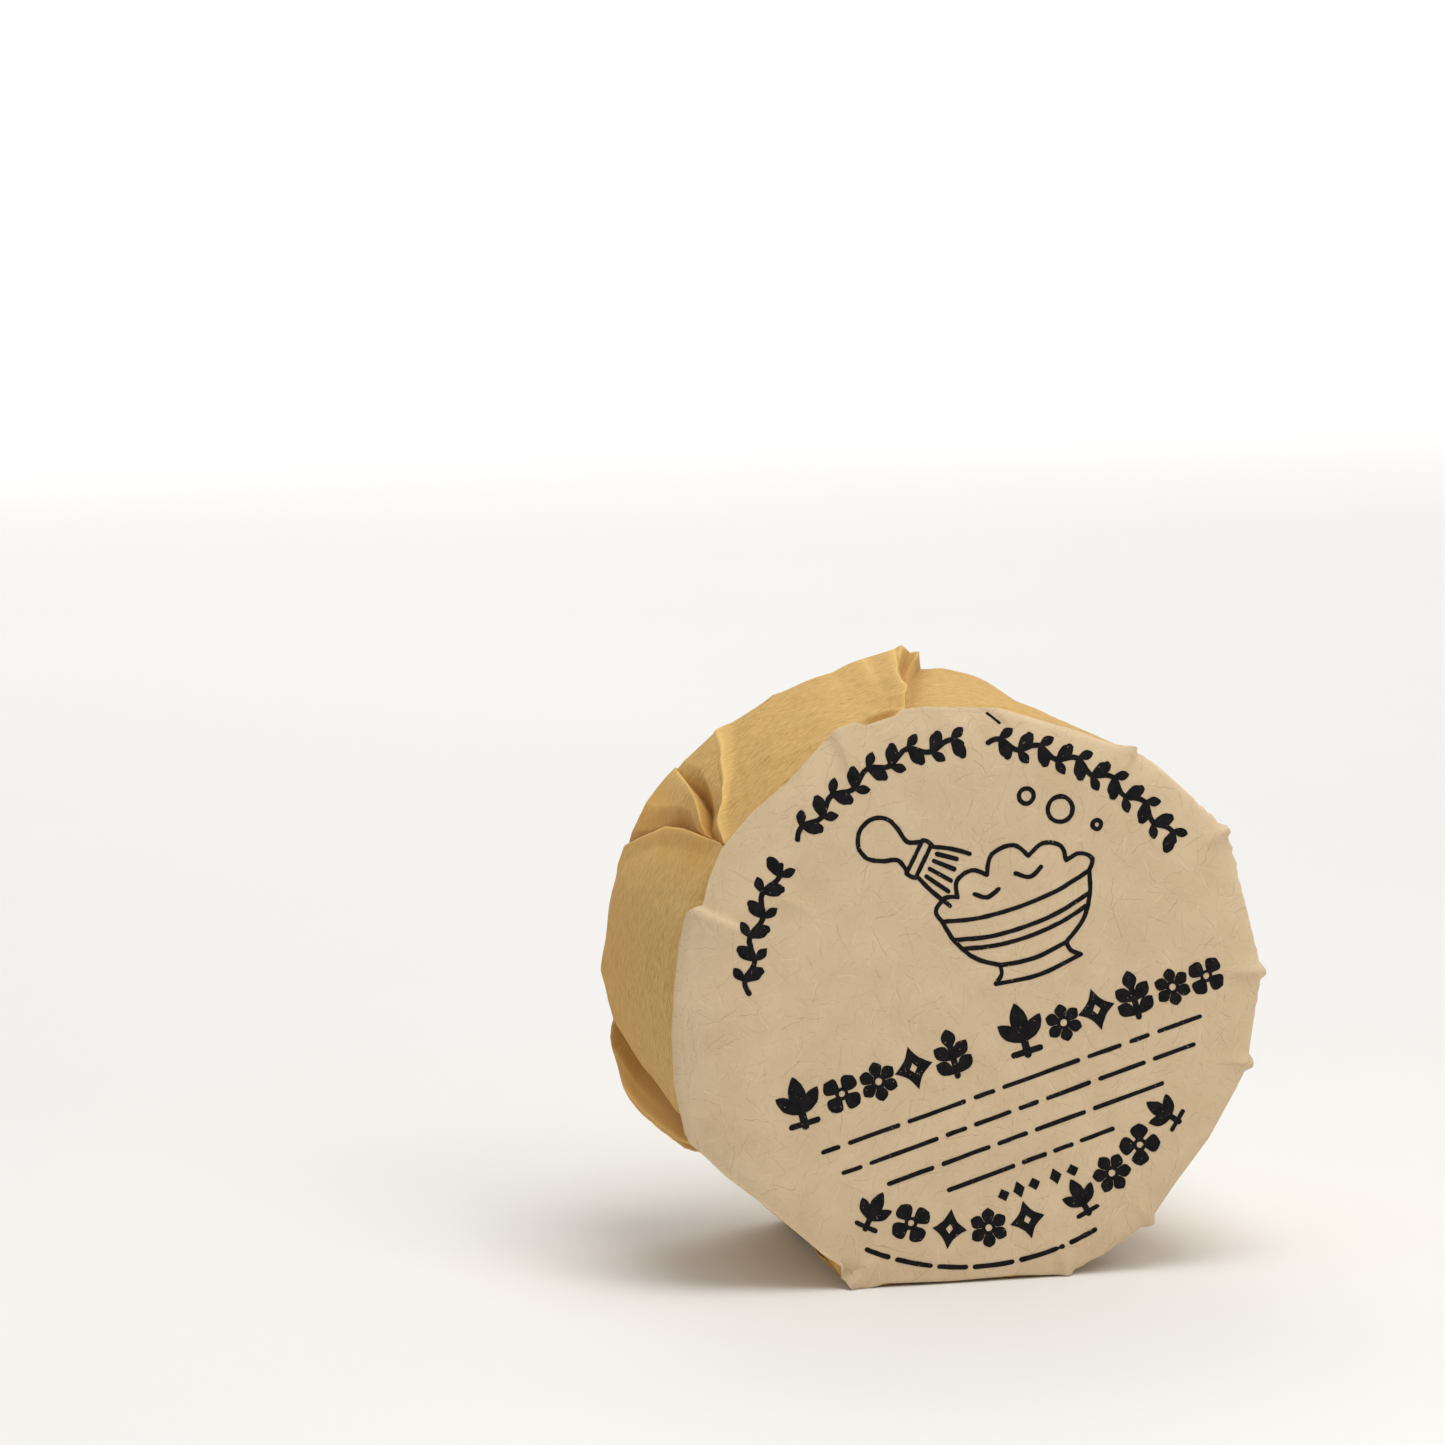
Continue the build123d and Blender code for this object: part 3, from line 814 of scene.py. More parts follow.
def margin_at(angle):
    """How far the margin turns back, in degrees, and how wide it is, at each angle."""
    turn = blend_round(angle, lambda a: margin_zone(a, 2), 1.6)
    width = blend_round(angle, lambda a: margin_zone(a, 3), 1.0)
    near = np.min([np.abs((angle - a + 180) % 360 - 180) for a, _ in LABEL_EARS], axis=0)
    pinch = np.exp(-((near / 1.3) ** 2))
    return turn * (1 - pinch) + 16 * pinch, width * (1 - pinch) + 1.1 * pinch


def margin_bend(turn, width, reach):
    """How far the paper has turned back by a distance past the fold, in radians."""
    return np.radians(turn) * (0.18 + 0.82 * smoothstep(reach / np.minimum(width, 1.5)))


def fold_rule(angle):
    """Where the label's margin begins to turn: in from its outline by the margin's own reach."""
    turn, width = margin_at(angle)
    reach = np.zeros(len(angle))
    for row in range(1, MARGIN_ROWS + 1):
        reach += width / MARGIN_ROWS * np.cos(margin_bend(turn, width, width * row / MARGIN_ROWS))
    outline = chord_radius(angle, LABEL_OUTLINE)
    for ear, height in LABEL_EARS:
        outline = outline + 0.8 * height * np.exp(-((np.abs((angle - ear + 180) % 360 - 180) + 0.4) / 1.9) ** 1.4)
    return outline - np.minimum(reach, 1.15)


FOLD_ANGLES = np.arange(0, 360, 0.5)
FOLD_RADII = fold_rule(FOLD_ANGLES)


def fold_radius(angle):
    return np.interp(np.asarray(angle) % 360, FOLD_ANGLES, FOLD_RADII, period=360)


def face_lift(u, w, under=False):
    """How far the label's face stands towards the viewer, in millimetres. Under it the wrapper bulges less."""
    u, w = np.asarray(u, float), np.asarray(w, float)
    lift = np.zeros(u.shape)
    for (su, sw), (eu, ew), height, (left, right) in FACE_CREASES:
        length = math.hypot(eu - su, ew - sw)
        cu, cw = (eu - su) / length, (ew - sw) / length
        along = ((u - su) * cu + (w - sw) * cw) / length
        side = (u - su) * -cw + (w - sw) * cu
        wide = np.where(side > 0, left, right)
        fade = np.clip(1 - along, 0, 1) ** 0.9 * smoothstep((along + 0.45) / 0.45)
        share = (0.55 if height > 0 else 1.25) if under else 1.0
        lift += share * height * fade * np.clip(1 - np.abs(side) / wide, 0, 1) ** 1.3
    flat = np.stack([u.ravel(), w.ravel(), np.zeros(u.size)], axis=-1)
    waves = 0.13 * smooth_noise(flat, 14.0, 7) + 0.05 * smooth_noise(flat, 5.0, 8)
    lift += waves.reshape(u.shape)
    angle = np.degrees(np.arctan2(w, u)) % 360
    out = np.clip(1 - (fold_radius(angle) - np.hypot(u, w)) / 1.5, 0, 1.2) ** 2
    lean = 0.62 + 0.50 * np.exp(-((angle - 186) / 32) ** 2) + 0.34 * np.exp(-((angle - 100) / 32) ** 2)
    roll = lean * np.clip((np.hypot(u, w) - 21.5) / 7.5, 0, 1.3) ** 2
    floor = np.where(np.hypot(u, w) < 25.0, -0.16, -1.0)
    return np.maximum(lift, floor) - 0.12 * out - roll


def crease_points():
    """Mesh points along the creases, so that they stay sharp."""
    points = []
    for (su, sw), (eu, ew), _, (left, right) in FACE_CREASES:
        length = math.hypot(eu - su, ew - sw)
        cu, cw = (eu - su) / length, (ew - sw) / length
        for along in np.arange(0, length + 0.1, 0.35):
            for side in (-right, -0.5 * right, -0.14 * right, 0, 0.14 * left, 0.5 * left, left):
                points.append((su + cu * along - cw * side, sw + cw * along + cu * side))
    points = np.array(points)
    kept = [points[0]]
    for point in points[1:]:
        if min(np.hypot(*(np.array(kept) - point).T)) > 0.12:
            kept.append(point)
    return np.array(kept)


CREASES = crease_points()


def face_skin(ring, spacing, depth):
    """Points and triangles of a flat layer behind the label's face, following its creases."""
    flat, triangles = fill_outline([ring], spacing, extra=CREASES)
    return flat, place(flat[:, 0], np.maximum(flat[:, 1], FOOT), depth - face_lift(flat[:, 0], flat[:, 1])), triangles


def polar_ring(radius, angle):
    return np.stack([radius * np.cos(np.radians(angle)), radius * np.sin(np.radians(angle))], axis=-1)


def make_label(material, wall_outside):
    """The paper label: its face, and the margin that turns back over the wrapper's rim."""
    angle = np.arange(LABEL_COLUMNS) * 360 / LABEL_COLUMNS
    radius, c, s = fold_radius(angle), np.cos(np.radians(angle)), np.sin(np.radians(angle))
    flat, front, triangles = face_skin(polar_ring(radius, angle), 0.55, FACE_DEPTH)
    points, faces = [front], [tuple(t) for t in triangles]
    turn, width = margin_at(angle)
    width = width * (1 + 0.12 * smooth_noise(np.stack([c * 9, s * 9, 0 * c], axis=-1), 3.0, 9))
    depth = FACE_DEPTH - face_lift(radius * c, radius * s)
    start, previous = len(flat), np.arange(LABEL_COLUMNS)
    for row in range(1, MARGIN_ROWS + 1):
        bend = margin_bend(turn, width, width * row / MARGIN_ROWS)
        radius = radius + width / MARGIN_ROWS * np.cos(bend)
        depth = depth + width / MARGIN_ROWS * np.sin(bend)
        clear = np.maximum(radius, wall_outside(angle, depth) + LABEL_THICK + 0.04)
        points.append(place(clear * c, np.maximum(clear * s, FOOT), depth))
        current = start + np.arange(LABEL_COLUMNS)
        for j in range(LABEL_COLUMNS):
            k = (j + 1) % LABEL_COLUMNS
            faces.append((previous[j], current[j], current[k], previous[k]))
        previous, start = current, start + LABEL_COLUMNS
    thing = make_object("label_paper", np.concatenate(points), faces, material)
    thicken(thing, LABEL_THICK, -1)
    return thing


def make_label_film(material):
    """The adhesive between the label and the wrapper, stopping short of the fold."""
    angle = np.arange(0, 360, 1.5)
    _, points, triangles = face_skin(polar_ring(fold_radius(angle) - 0.9, angle), 1.1, FACE_DEPTH + LABEL_THICK + 0.004)
    thing = make_object("label_adhesive_film", points, triangles, material)
    thicken(thing, FILM_THICK - 0.012, -1)
    return thing


# ---------------------------------------------------------------- the printing


ART_TURN = 16.5             # the artwork is turned on the puck by this much


def turned(points, angle, at=(0, 0)):
    """Points turned by an angle in degrees, then moved."""
    c, s = math.cos(math.radians(angle)), math.sin(math.radians(angle))
    points = np.asarray(points, float)
    return np.stack([points[:, 0] * c - points[:, 1] * s + at[0], points[:, 0] * s + points[:, 1] * c + at[1]], axis=-1)


def curve(points, closed=False, steps=5):
    """A smooth line through a few points."""
    points = [np.array(p, float) for p in points]
    n = len(points)
    made = []
    for i in range(n if closed else n - 1):
        a = points[i - 1] if closed or i else points[0]
        b, c = points[i], points[(i + 1) % n]
        d = points[(i + 2) % n] if closed or i + 2 < n else points[-1]
        for k in range(steps):
            t = k / steps
            made.append(0.5 * (2 * b + (c - a) * t + (2 * a - 5 * b + 4 * c - d) * t * t
                               + (3 * b - a - 3 * c + d) * t * t * t))
    if not closed:
        made.append(points[-1])
    return np.array(made)


def stroke(line, width, closed=False):
    """The outline of a pen line with round ends; a closed line gives an outer outline and a hole."""
    line = np.asarray(line, float)
    if closed:
        ahead, behind = np.roll(line, -1, 0), np.roll(line, 1, 0)
        tangent = ahead - behind
    else:
        tangent = np.gradient(line, axis=0)
    tangent /= np.linalg.norm(tangent, axis=1)[:, None]
    normal = np.stack([-tangent[:, 1], tangent[:, 0]], axis=-1) * width / 2
    if closed:
        return line - normal, line + normal
    cap = np.radians(np.linspace(0, 180, 6)[1:-1])
    ends = []
    for centre, forward, sideways in ((line[-1], tangent[-1], -normal[-1]), (line[0], -tangent[0], normal[0])):
        ends.append(np.array([centre + sideways * math.cos(a) + forward * width / 2 * math.sin(a) for a in cap]))
    return np.concatenate([line - normal, ends[0], (line + normal)[::-1], ends[1]])


def disc(x, y, radius, points=18):
    return turned(polar_ring(radius, np.arange(points) * 360 / points), 0, (x, y))


def petal(at, angle, length, width, full=0.55):
    """A leaf or petal that starts at a point and runs in a direction; full is where it is widest."""
    t = np.linspace(0, 1, 12)
    across = width / 2 * np.sin(math.pi * t ** (math.log(0.5) / math.log(full))) ** 0.85
    upper = np.stack([t * length, across], axis=-1)
    return turned(np.concatenate([upper, upper[-2:0:-1] * (1, -1)]), angle, at)


def lozenge(x, y, width, height, pinch=0.0):
    """A diamond; pinch above 0 hollows its sides into a four-pointed star."""
    corners = [(width / 2, 0), (0, height / 2), (-width / 2, 0), (0, -height / 2)]
    made = []
    for (ax, ay), (bx, by) in zip(corners, corners[1:] + corners[:1]):
        for t in np.linspace(0, 1, 7)[:-1]:
            shrink = 1 - pinch * 4 * t * (1 - t)
            made.append((x + (ax + (bx - ax) * t) * shrink, y + (ay + (by - ay) * t) * shrink))
    return np.array(made)


ORNAMENT_WIDTHS = {"quatrefoil": 1.02, "flower": 1.02, "star": 0.86, "sprig": 0.98, "tulip": 1.0}


def ornament(kind, size):
    """Outlines and holes of one ornament, standing on y = 0, size tall."""
    s = size
    if kind == "quatrefoil":
        loops = [petal((0, s / 2), a, s * 0.54, s * 0.46, 0.66) for a in (45, 135, 225, 315)]
        return loops + [disc(0, s / 2, s * 0.17)], [disc(0, s / 2, s * 0.08)]
    if kind == "flower":
        loops = [petal((0, s / 2), a, s * 0.51, s * 0.33, 0.66) for a in range(30, 390, 60)]
        return loops + [disc(0, s / 2, s * 0.18)], [disc(0, s / 2, s * 0.09)]
    if kind == "star":
        return [lozenge(0, s / 2, s * 0.90, s, 0.20)], [lozenge(0, s / 2, s * 0.18, s * 0.24)]
    if kind == "sprig":
        loops = [stroke(np.array([(0, 0.02 * s), (0, s * 0.5), (0, s * 0.8)]), s * 0.13)]
        loops += [petal((0, s * y), a, s * 0.48, s * 0.29, 0.6) for y, a in ((0.06, 38), (0.06, 142), (0.34, 44),
                                                                           (0.34, 136))]
        return loops + [petal((0, s * 0.56), 90, s * 0.44, s * 0.30, 0.55)], []
    loops = [petal((0, s * 0.30), 90, s * 0.70, s * 0.34, 0.5), petal((0, s * 0.22), 47, s * 0.62, s * 0.28, 0.55),
             petal((0, s * 0.22), 133, s * 0.62, s * 0.28, 0.55), stroke(np.array([(0, 0), (0, s * 0.2), (0, s * 0.5)]),
                                                                        s * 0.15)]
    return loops + [stroke(np.array([(-s * 0.26, s * 0.05), (0, s * 0.05), (s * 0.26, s * 0.05)]), s * 0.12)], []


def along_line(kinds, start, end, heights):
    """Ornaments spaced evenly along a straight base line."""
    start, end = np.array(start, float), np.array(end, float)
    tilt = math.degrees(math.atan2(end[1] - start[1], end[0] - start[0]))
    widths = [ORNAMENT_WIDTHS[kind] * height for kind, height in zip(kinds, heights)]
    shapes = []
    for i, (kind, height) in enumerate(zip(kinds, heights)):
        at = start + (end - start) * (sum(widths[:i]) + widths[i] / 2) / sum(widths)
        loops, holes = ornament(kind, height)
        shapes.append(([turned(l, tilt, at) for l in loops], [turned(h, tilt, at) for h in holes]))
    return shapes


def garland(first, last, radius_at, leaves):
    """A wavy stem of leaves and berries along an arc, from one angle to another."""
    angles = np.linspace(first, last, 6 * leaves + 1)
    wave = 0.42 * np.sin(np.linspace(0, leaves * math.pi, len(angles)))
    stem = polar_ring(radius_at(angles) + wave, angles)
    loops = [stroke(stem, 0.52)]
    for i in range(leaves):
        at = stem[6 * i + 3]
        ahead = stem[6 * i + 4] - stem[6 * i + 2]
        heading = math.degrees(math.atan2(ahead[1], ahead[0]))
        side = 1 if i % 2 else -1
        loops.append(petal(at, heading + side * 52, 2.25, 1.25, 0.58))
        loops.append(petal(at, heading - side * 38, 1.75, 0.95, 0.58))
        berry = turned([(0.35, side * 1.35)], heading, stem[6 * i + 5])[0]
        loops.append(disc(*berry, 0.34, 12))
    return [(loops, [])]


def dashes(start, end, lengths, thick, gap=0.62):
    """A line of small print, stood for by rounded dashes."""
    start, end = np.array(start, float), np.array(end, float)
    total = sum(lengths) + gap * (len(lengths) - 1)
    unit, here, shapes = (end - start) / total, 0.0, []
    for length in lengths:
        a, b = start + unit * (here + thick / 2), start + unit * (here + length - thick / 2)
        shapes.append(([stroke(np.linspace(a, b, 4), thick)], []))
        here += length + gap
    return shapes


def arc_dashes(radius, first, last, lengths, thick, gap=0.55):
    """The same, round an arc."""
    total = sum(lengths) + gap * (len(lengths) - 1)
    here, shapes = 0.0, []
    for length in lengths:
        ends = np.interp([here + 0.25, here + length - 0.25], [0, total], [first, last])
        angles = np.linspace(*ends, 6)
        shapes.append(([stroke(polar_ring(radius, angles), thick)], []))
        here += length + gap
    return shapes


def arc_ornaments(kinds, radius, first, last, size):
    """Ornaments round the foot of the label, their tops towards its middle."""
    shapes = []
    for i, kind in enumerate(kinds):
        angle = first + (last - first) * (i + 0.5) / len(kinds)
        at = polar_ring(np.array([radius]), np.array([angle]))[0]
        loops, holes = ornament(kind, size)
        shapes.append(([turned(l, angle + 90, at) for l in loops], [turned(h, angle + 90, at) for h in holes]))
    return shapes


def bowl_and_brush():
    """A line drawing of a lather bowl with a brush leaning in it."""
    pen = 0.44
    loops, holes = [], []

    def draw(points, closed=False, smooth=True):
        line = curve(points, closed) if smooth else np.array(points, float)
        if closed:
            outer, inner = stroke(line, pen, closed=True)
            big, small = (outer, inner) if np.ptp(outer[:, 0]) > np.ptp(inner[:, 0]) else (inner, outer)
            rings.append((big, small))
        else:
            loops.append(stroke(line, pen))

    rings = []
    # Bowl: body, bands and foot
    draw([(-0.6, 8.4), (0.0, 6.2), (1.4, 4.0), (3.6, 2.5)])
    draw([(14.6, 8.4), (14.0, 6.2), (12.6, 4.0), (10.4, 2.5)])
    draw([(3.6, 2.5), (7.0, 2.05), (10.4, 2.5)])
    draw([(3.6, 2.5), (3.4, 1.6), (2.6, 0.9)])
    draw([(10.4, 2.5), (10.6, 1.6), (11.4, 0.9)])
    draw([(2.6, 0.9), (7.0, 0.35), (11.4, 0.9)])
    draw([(-0.6, 8.4), (3.0, 7.55), (7.0, 7.3), (11.0, 7.55), (14.6, 8.4)])
    draw([(0.1, 6.3), (3.4, 5.5), (7.0, 5.25), (10.6, 5.5), (13.9, 6.3)])
    draw([(0.7, 5.2), (3.6, 4.5), (7.0, 4.25), (10.4, 4.5), (13.3, 5.2)])
    # Lather heaped above the rim
    draw([(-0.6, 8.4), (-0.9, 9.6), (0.3, 10.5), (1.5, 10.2)])
    draw([(1.5, 10.2), (1.9, 11.7), (3.6, 12.2), (4.9, 11.3)])
    draw([(4.9, 11.3), (5.9, 13.0), (8.2, 13.2), (9.3, 11.7)])
    draw([(9.3, 11.7), (11.0, 12.4), (12.6, 11.6), (12.7, 10.1)])
    draw([(12.7, 10.1), (14.2, 10.3), (15.2, 9.4), (14.6, 8.4)])
    draw([(3.2, 9.9), (4.3, 9.2), (5.6, 9.6)])
    draw([(7.6, 10.5), (8.9, 9.7), (10.2, 10.3)])
    # Brush, leaning to the left
    axis = np.array([(-0.72, 0.694), (0.694, 0.72)])
    root = np.array((2.9, 11.2))

    def on_brush(points):
        return [tuple(root + axis[0] * s + axis[1] * n) for s, n in points]

    draw(on_brush([(1.1, 2.55), (3.0, 2.2), (4.9, 1.55)]))
    draw(on_brush([(0.6, -2.75), (3.0, -2.2), (4.9, -1.55)]))
    for n in (-1.5, -0.5, 0.55, 1.5):
        draw(on_brush([(1.7 + 0.2 * n, n * 1.05), (4.0, n * 0.80)]), smooth=False)
    draw(on_brush([(4.9, -1.75), (4.9, 0), (4.9, 1.75)]))
    draw(on_brush([(5.9, -1.75), (5.9, 0), (5.9, 1.75)]))
    draw(on_brush([(4.9, 1.75), (5.4, 1.85), (5.9, 1.75)]))
    draw(on_brush([(4.9, -1.75), (5.4, -1.85), (5.9, -1.75)]))
    draw(on_brush([(5.9, 1.6), (7.2, 1.0), (8.6, 1.7), (10.0, 2.1), (11.3, 1.5), (11.9, 0), (11.3, -1.5),
                   (10.0, -2.1), (8.6, -1.7), (7.2, -1.0), (5.9, -1.6)]))
    # Bubbles
    for x, y, r in ((13.6, 15.0, 1.45), (10.8, 17.3, 0.95), (16.6, 12.4, 0.65)):
        rings.append((disc(x, y, r, 28), disc(x, y, r - pen, 24)))
    shapes = [(loops, [])]
    shapes += [([outer], [inner]) for outer, inner in rings]
    return [([turned(l, ART_TURN) for l in ls], [turned(h, ART_TURN) for h in hs]) for ls, hs in shapes]


def artwork():
    """Everything printed on the label, as (outlines, holes), in u and w."""
    rows = []
    rows += along_line(("tulip", "quatrefoil", "flower", "star", "sprig"), (-21.5, -5.9), (-1.3, -6.5),
                       (5.0, 3.8, 3.9, 4.3, 4.8))
    rows += along_line(("tulip", "flower", "star", "sprig", "flower", "quatrefoil"), (1.2, -6.6), (24.4, -7.2),
                       (5.2, 3.7, 4.2, 4.8, 3.7, 3.7))
    rows += dashes((-18.5, -9.0), (21.2, -8.9), (1.8, 4.8, 5.4, 2.0, 7.2, 3.2, 2.0, 4.2), 0.44)
    rows += dashes((-17.2, -11.6), (19.8, -11.3), (2.0, 6.6, 2.1, 3.6, 2.0, 4.4, 4.6, 4.2), 0.44)
    rows += dashes((-13.3, -14.1), (15.7, -13.9), (4.6, 4.8, 3.0, 5.0, 7.0), 0.44)
    rows += dashes((-7.9, -16.7), (9.7, -16.5), (7.0, 2.6, 2.1, 3.6), 0.44)
    for i, x in enumerate((-2.7, -1.1, 0.5, 2.7, 4.5)):
        rows.append(([lozenge(x, -19.0, 1.25, 1.7 if i % 2 else 1.3)], []))
    shapes = [([turned(l, ART_TURN) for l in ls], [turned(h, ART_TURN) for h in hs]) for ls, hs in rows]
    shapes += bowl_and_brush()

    def arc_radius(angle):
        return np.interp(angle, [34, 105, 176], [24.9, 25.0, 22.0])

    shapes += garland(175, 143, arc_radius, 6) + garland(136, 92, arc_radius, 9) + garland(86, 36, arc_radius, 11)
    shapes += arc_ornaments(("tulip", "quatrefoil", "star", "flower", "star"), 24.1, 238.0, 288.5, 3.9)
    shapes += arc_ornaments(("tulip", "flower", "quatrefoil", "tulip"), 24.1, 293.0, 333.0, 3.9)
    shapes += arc_dashes(25.9, 245, 298, (3.0, 4.2, 3.4, 4.6, 5.2, 3.4), 0.5)
    shapes.append(([stroke(np.array([(1.8, 27.7), (2.4, 27.25), (3.0, 26.75)]), 0.26)], []))
    return shapes


def make_ink(material):
    """Closed slabs of ink that follow the label's face, a hair above it and sunk slightly into it."""
    points, faces, start = [], [], 0
    for loops, holes in artwork():
        rough = []
        for loop in [*loops, *holes]:
            flat = np.stack([loop[:, 0], loop[:, 1], np.zeros(len(loop))], axis=-1)
            bleed = np.stack([smooth_noise(flat, 0.55, 21), smooth_noise(flat, 0.55, 22)], axis=-1)
            rough.append(loop + 0.055 * bleed)
        flat, triangles = fill_outline(rough[:len(loops)], 0.8, rough[len(loops):], extra=CREASES)
        used = np.unique(triangles)
        rename = np.full(len(flat), -1)
        rename[used] = np.arange(len(used))
        flat, triangles = flat[used], rename[triangles]
        lift = face_lift(flat[:, 0], flat[:, 1])
        n = len(flat)
        points += [place(flat[:, 0], flat[:, 1], FACE_DEPTH - lift - 0.035),
                   place(flat[:, 0], flat[:, 1], FACE_DEPTH - lift + 0.035)]
        faces += [tuple(start + t) for t in triangles]
        faces += [tuple(start + n + t[::-1]) for t in triangles]
        sides = {}
        for a, b, c in triangles:
            for edge in ((a, b), (b, c), (c, a)):
                sides[edge] = True
        faces += [(start + b, start + a, start + n + a, start + n + b) for a, b in sides if (b, a) not in sides]
        start += 2 * n
    return make_object("label_printing", np.concatenate(points), faces, material, smooth=False)


# ---------------------------------------------------------------- the soap and the seal


def make_soap(material):
    """The cast puck: rounded at the back, a thin casting lip at the front, not quite even all round."""
    radius, front, back = SOAP_RADIUS - 0.12, SOAP_FRONT + 0.05, SOAP_BACK - 0.05
    profile = [(r, front + 0.06 * math.cos(r * 0.5)) for r in np.linspace(2.2, radius - 1.3, 14)]
    profile += [(radius - 0.9 + 0.9 * math.sin(a), front + 0.5 * (1 - math.cos(a)))
                for a in np.radians(np.linspace(15, 90, 6))]
    profile += [(radius - 0.35, front + 1.2), (radius - 0.38, front + 1.6)]
    profile += [(radius - 0.38 - 0.1 * math.sin(math.pi * t), front + 1.6 + (back - front - 4.2) * t)
                for t in np.linspace(0.06, 1, 22)]
    profile += [(radius - 0.38 - 2.6 * (1 - math.cos(a)), back - 2.6 * (1 - math.sin(a)))
                for a in np.radians(np.linspace(12, 90, 8))]
    profile += [(r, back - 0.10 * (1 - r / radius)) for r in np.linspace(radius - 4.2, 2.2, 12)]
    columns = 144
    angle = np.arange(columns) * 360 / columns
    rings = []
    for r, d in profile:
        ring = polar_ring(np.full(columns, r), angle)
        where = np.stack([ring[:, 0], ring[:, 1], np.full(columns, d)], axis=-1)
        swell = 0.06 * smooth_noise(where, 9.0, 31) + 0.025 * smooth_noise(where, 2.5, 32) - 0.05
        flat = min(1.0, max(0.0, (r - radius + 3.5) / 2))
        scale = 1 + swell * flat / max(r, 1)
        deep = d + swell * (1 - flat) * (1 if d > 20 else -1)
        rings.append(place(ring[:, 0] * scale, ring[:, 1] * scale, deep))
    points = np.concatenate([*rings, [rings[0].mean(0)], [rings[-1].mean(0)]])
    faces, last = [], len(rings) * columns
    for i in range(len(rings) - 1):
        for j in range(columns):
            k = (j + 1) % columns
            faces.append((i * columns + j, (i + 1) * columns + j, (i + 1) * columns + k, i * columns + k))
    for j in range(columns):
        k = (j + 1) % columns
        faces.append((last, j, k))
        faces.append((last + 1, last - columns + k, last - columns + j))
    return make_object("soap_cast", points, faces, material)


def make_seal(name, radius, spacing, gap, thickness, material, wrapper_points):
    """A round paper or film laid over the gathers at the back, taking up their shape a little."""
    angle = np.arange(0, 360, 2.5)
    edge = radius * (1 + 0.004 * np.sin(np.radians(angle * 3 + 40)))
    flat, triangles = fill_outline([polar_ring(edge, angle)], spacing)
    u, w = (wrapper_points[:, 0] - AXIS.x) / MM, (wrapper_points[:, 2] - AXIS.z) / MM
    d = (wrapper_points[:, 1] - FRONT_Y) / MM
    near = (np.hypot(u, w) < radius + 3) & (d > 20)
    u, w, d = u[near], w[near], d[near]
    apart = np.hypot(flat[:, :1] - u[None], flat[:, 1:] - w[None])
    depth = np.where(apart < 1.7, d[None], -1).max(1)
    middle = np.hypot(flat[:, 0], flat[:, 1]) < GATHER_RADIUS
    depth = np.where(middle | (depth < 0), np.median(depth[depth > 0]), depth)
    apart = np.hypot(flat[:, None, 0] - flat[None, :, 0], flat[:, None, 1] - flat[None, :, 1])
    weight = np.exp(-((apart / 1.5) ** 2))
    soft = (weight @ depth) / weight.sum(1)
    depth = np.maximum(soft, depth - 0.06) + gap
    thing = make_object(name, place(flat[:, 0], flat[:, 1], depth), triangles[:, ::-1], material)
    thicken(thing, thickness, 1)
    return thing


# ---------------------------------------------------------------- build


crepe = wrapper_material()
kraft = kraft_label_material()
ink = ink_material()
cast = soap_material()
film = film_material()

wrapper, wall_outside, wrapper_points = make_wrapper(crepe)
label = make_label(kraft, wall_outside)
printing = make_ink(ink)
label_film = make_label_film(film)
soap = make_soap(cast)
seal_film = make_seal("seal_adhesive_film", SEAL_RADIUS - 0.4, 1.2, 0.02, 0.05, film, wrapper_points)
seal = make_seal("seal_paper", SEAL_RADIUS, 0.8, 0.08, 0.14, kraft, wrapper_points)

pleats = [f"wrapper_pleat_{n:02d}" for n in range(1, 9)]
for thing, slot, nodes in (
    (wrapper, "wrapping_paper", ["wrapper_sheet", *pleats]),
    (label, "label_paper", ["label"]),
    (label_film, "adhesive", ["label_adhesive"]),
    (soap, "soap", ["soap_puck"]),
    (seal_film, "adhesive", ["seal_adhesive"]),
    (seal, "label_paper", ["back_seal"]),
):
    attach(thing, "root")
    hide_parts(*nodes)
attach(printing, "root")


# ---------------------------------------------------------------- stage, light and camera


def make_sweep(material):
    """A pale floor that sweeps up far behind the object."""
    bend_start, bend_radius, wide = 1.6, 1.0, 6.0
    line = [(-4.0, 0.0)] + [(bend_start + bend_radius * math.sin(a), bend_radius * (1 - math.cos(a)))
                            for a in np.radians(np.linspace(0, 90, 25))] + [(bend_start + bend_radius, 4.0)]
    points = [(x, y, z) for y, z in line for x in (-wide, wide)]
    faces = [(2 * i, 2 * i + 1, 2 * i + 3, 2 * i + 2) for i in range(len(line) - 1)]
    return make_object("floor_sweep", points, faces, material)


make_sweep(floor_material())


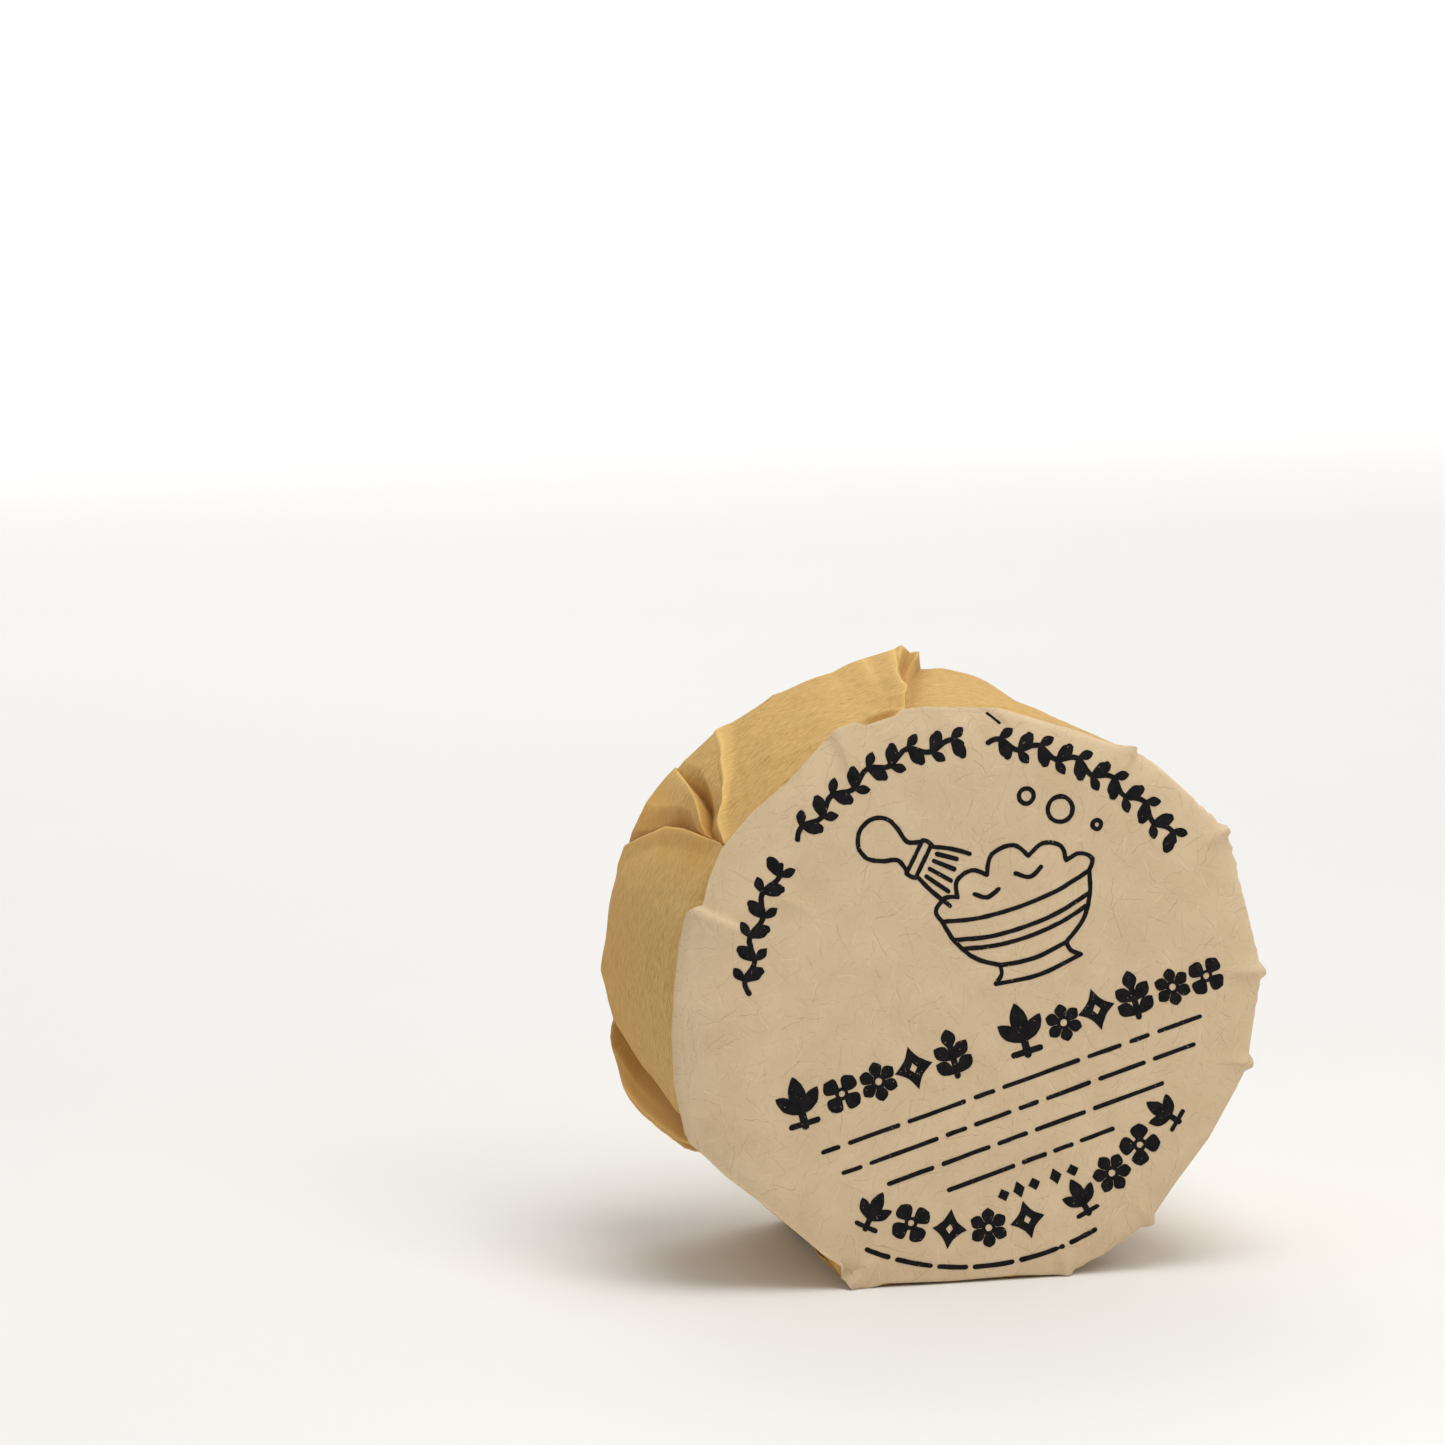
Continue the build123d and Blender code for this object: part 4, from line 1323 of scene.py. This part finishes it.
def area_light(name, location, target, size, power, colour):
    data = bpy.data.lights.new(name, "AREA")
    data.shape, data.size, data.energy, data.color = "DISK", size, power, colour
    thing = bpy.data.objects.new(name, data)
    thing.location = location
    thing.rotation_euler = (Vector(target) - Vector(location)).to_track_quat("-Z", "Y").to_euler()
    bpy.context.scene.collection.objects.link(thing)
    return thing


middle = tuple(AXIS)
area_light("key_softbox", (0.34, -0.50, 0.62), middle, 0.40, 1.5, (1.0, 0.98, 0.95))
area_light("top_softbox", (0.05, -0.12, 0.50), middle, 0.30, 1.2, (1.0, 0.985, 0.965))
area_light("rear_softbox", (0.05, 0.55, 0.55), middle, 0.40, 0.7, (1.0, 0.99, 0.98))

world = bpy.data.worlds.new("soft_white")
world.use_nodes = True
background = world.node_tree.nodes["Background"]
background.inputs["Color"].default_value = (1.0, 0.99, 0.98, 1)
background.inputs["Strength"].default_value = 0.45
scene = bpy.context.scene
scene.world = world
scene.view_settings.view_transform = "Standard"

CAMERA_DISTANCE = 0.5279    # from the middle of the label's face
CAMERA_AZIMUTH = -14.6      # where the camera stands round the face, and its height, in degrees
CAMERA_ELEVATION = 9.66
LOOK_AZIMUTH = -12.0        # the way it looks
LOOK_ELEVATION = 6.72
CAMERA_ROLL = 0.91
CAMERA_LENS = 137.0


def direction(azimuth, elevation):
    a, e = math.radians(azimuth), math.radians(elevation)
    return Vector((math.sin(a) * math.cos(e), -math.cos(a) * math.cos(e), math.sin(e)))


camera_data = bpy.data.cameras.new("camera")
camera_data.lens, camera_data.sensor_width = CAMERA_LENS, 36.0
camera_data.clip_start, camera_data.clip_end = 0.01, 20.0
camera = bpy.data.objects.new("camera", camera_data)
face_middle = Vector((AXIS.x, FRONT_Y, AXIS.z))
camera.location = face_middle + direction(CAMERA_AZIMUTH, CAMERA_ELEVATION) * CAMERA_DISTANCE
facing = (-direction(LOOK_AZIMUTH, LOOK_ELEVATION)).to_track_quat("-Z", "Y")
camera.rotation_euler = (facing.to_matrix() @ Matrix.Rotation(math.radians(-CAMERA_ROLL), 3, "Z")).to_euler()
scene.collection.objects.link(camera)
scene.camera = camera
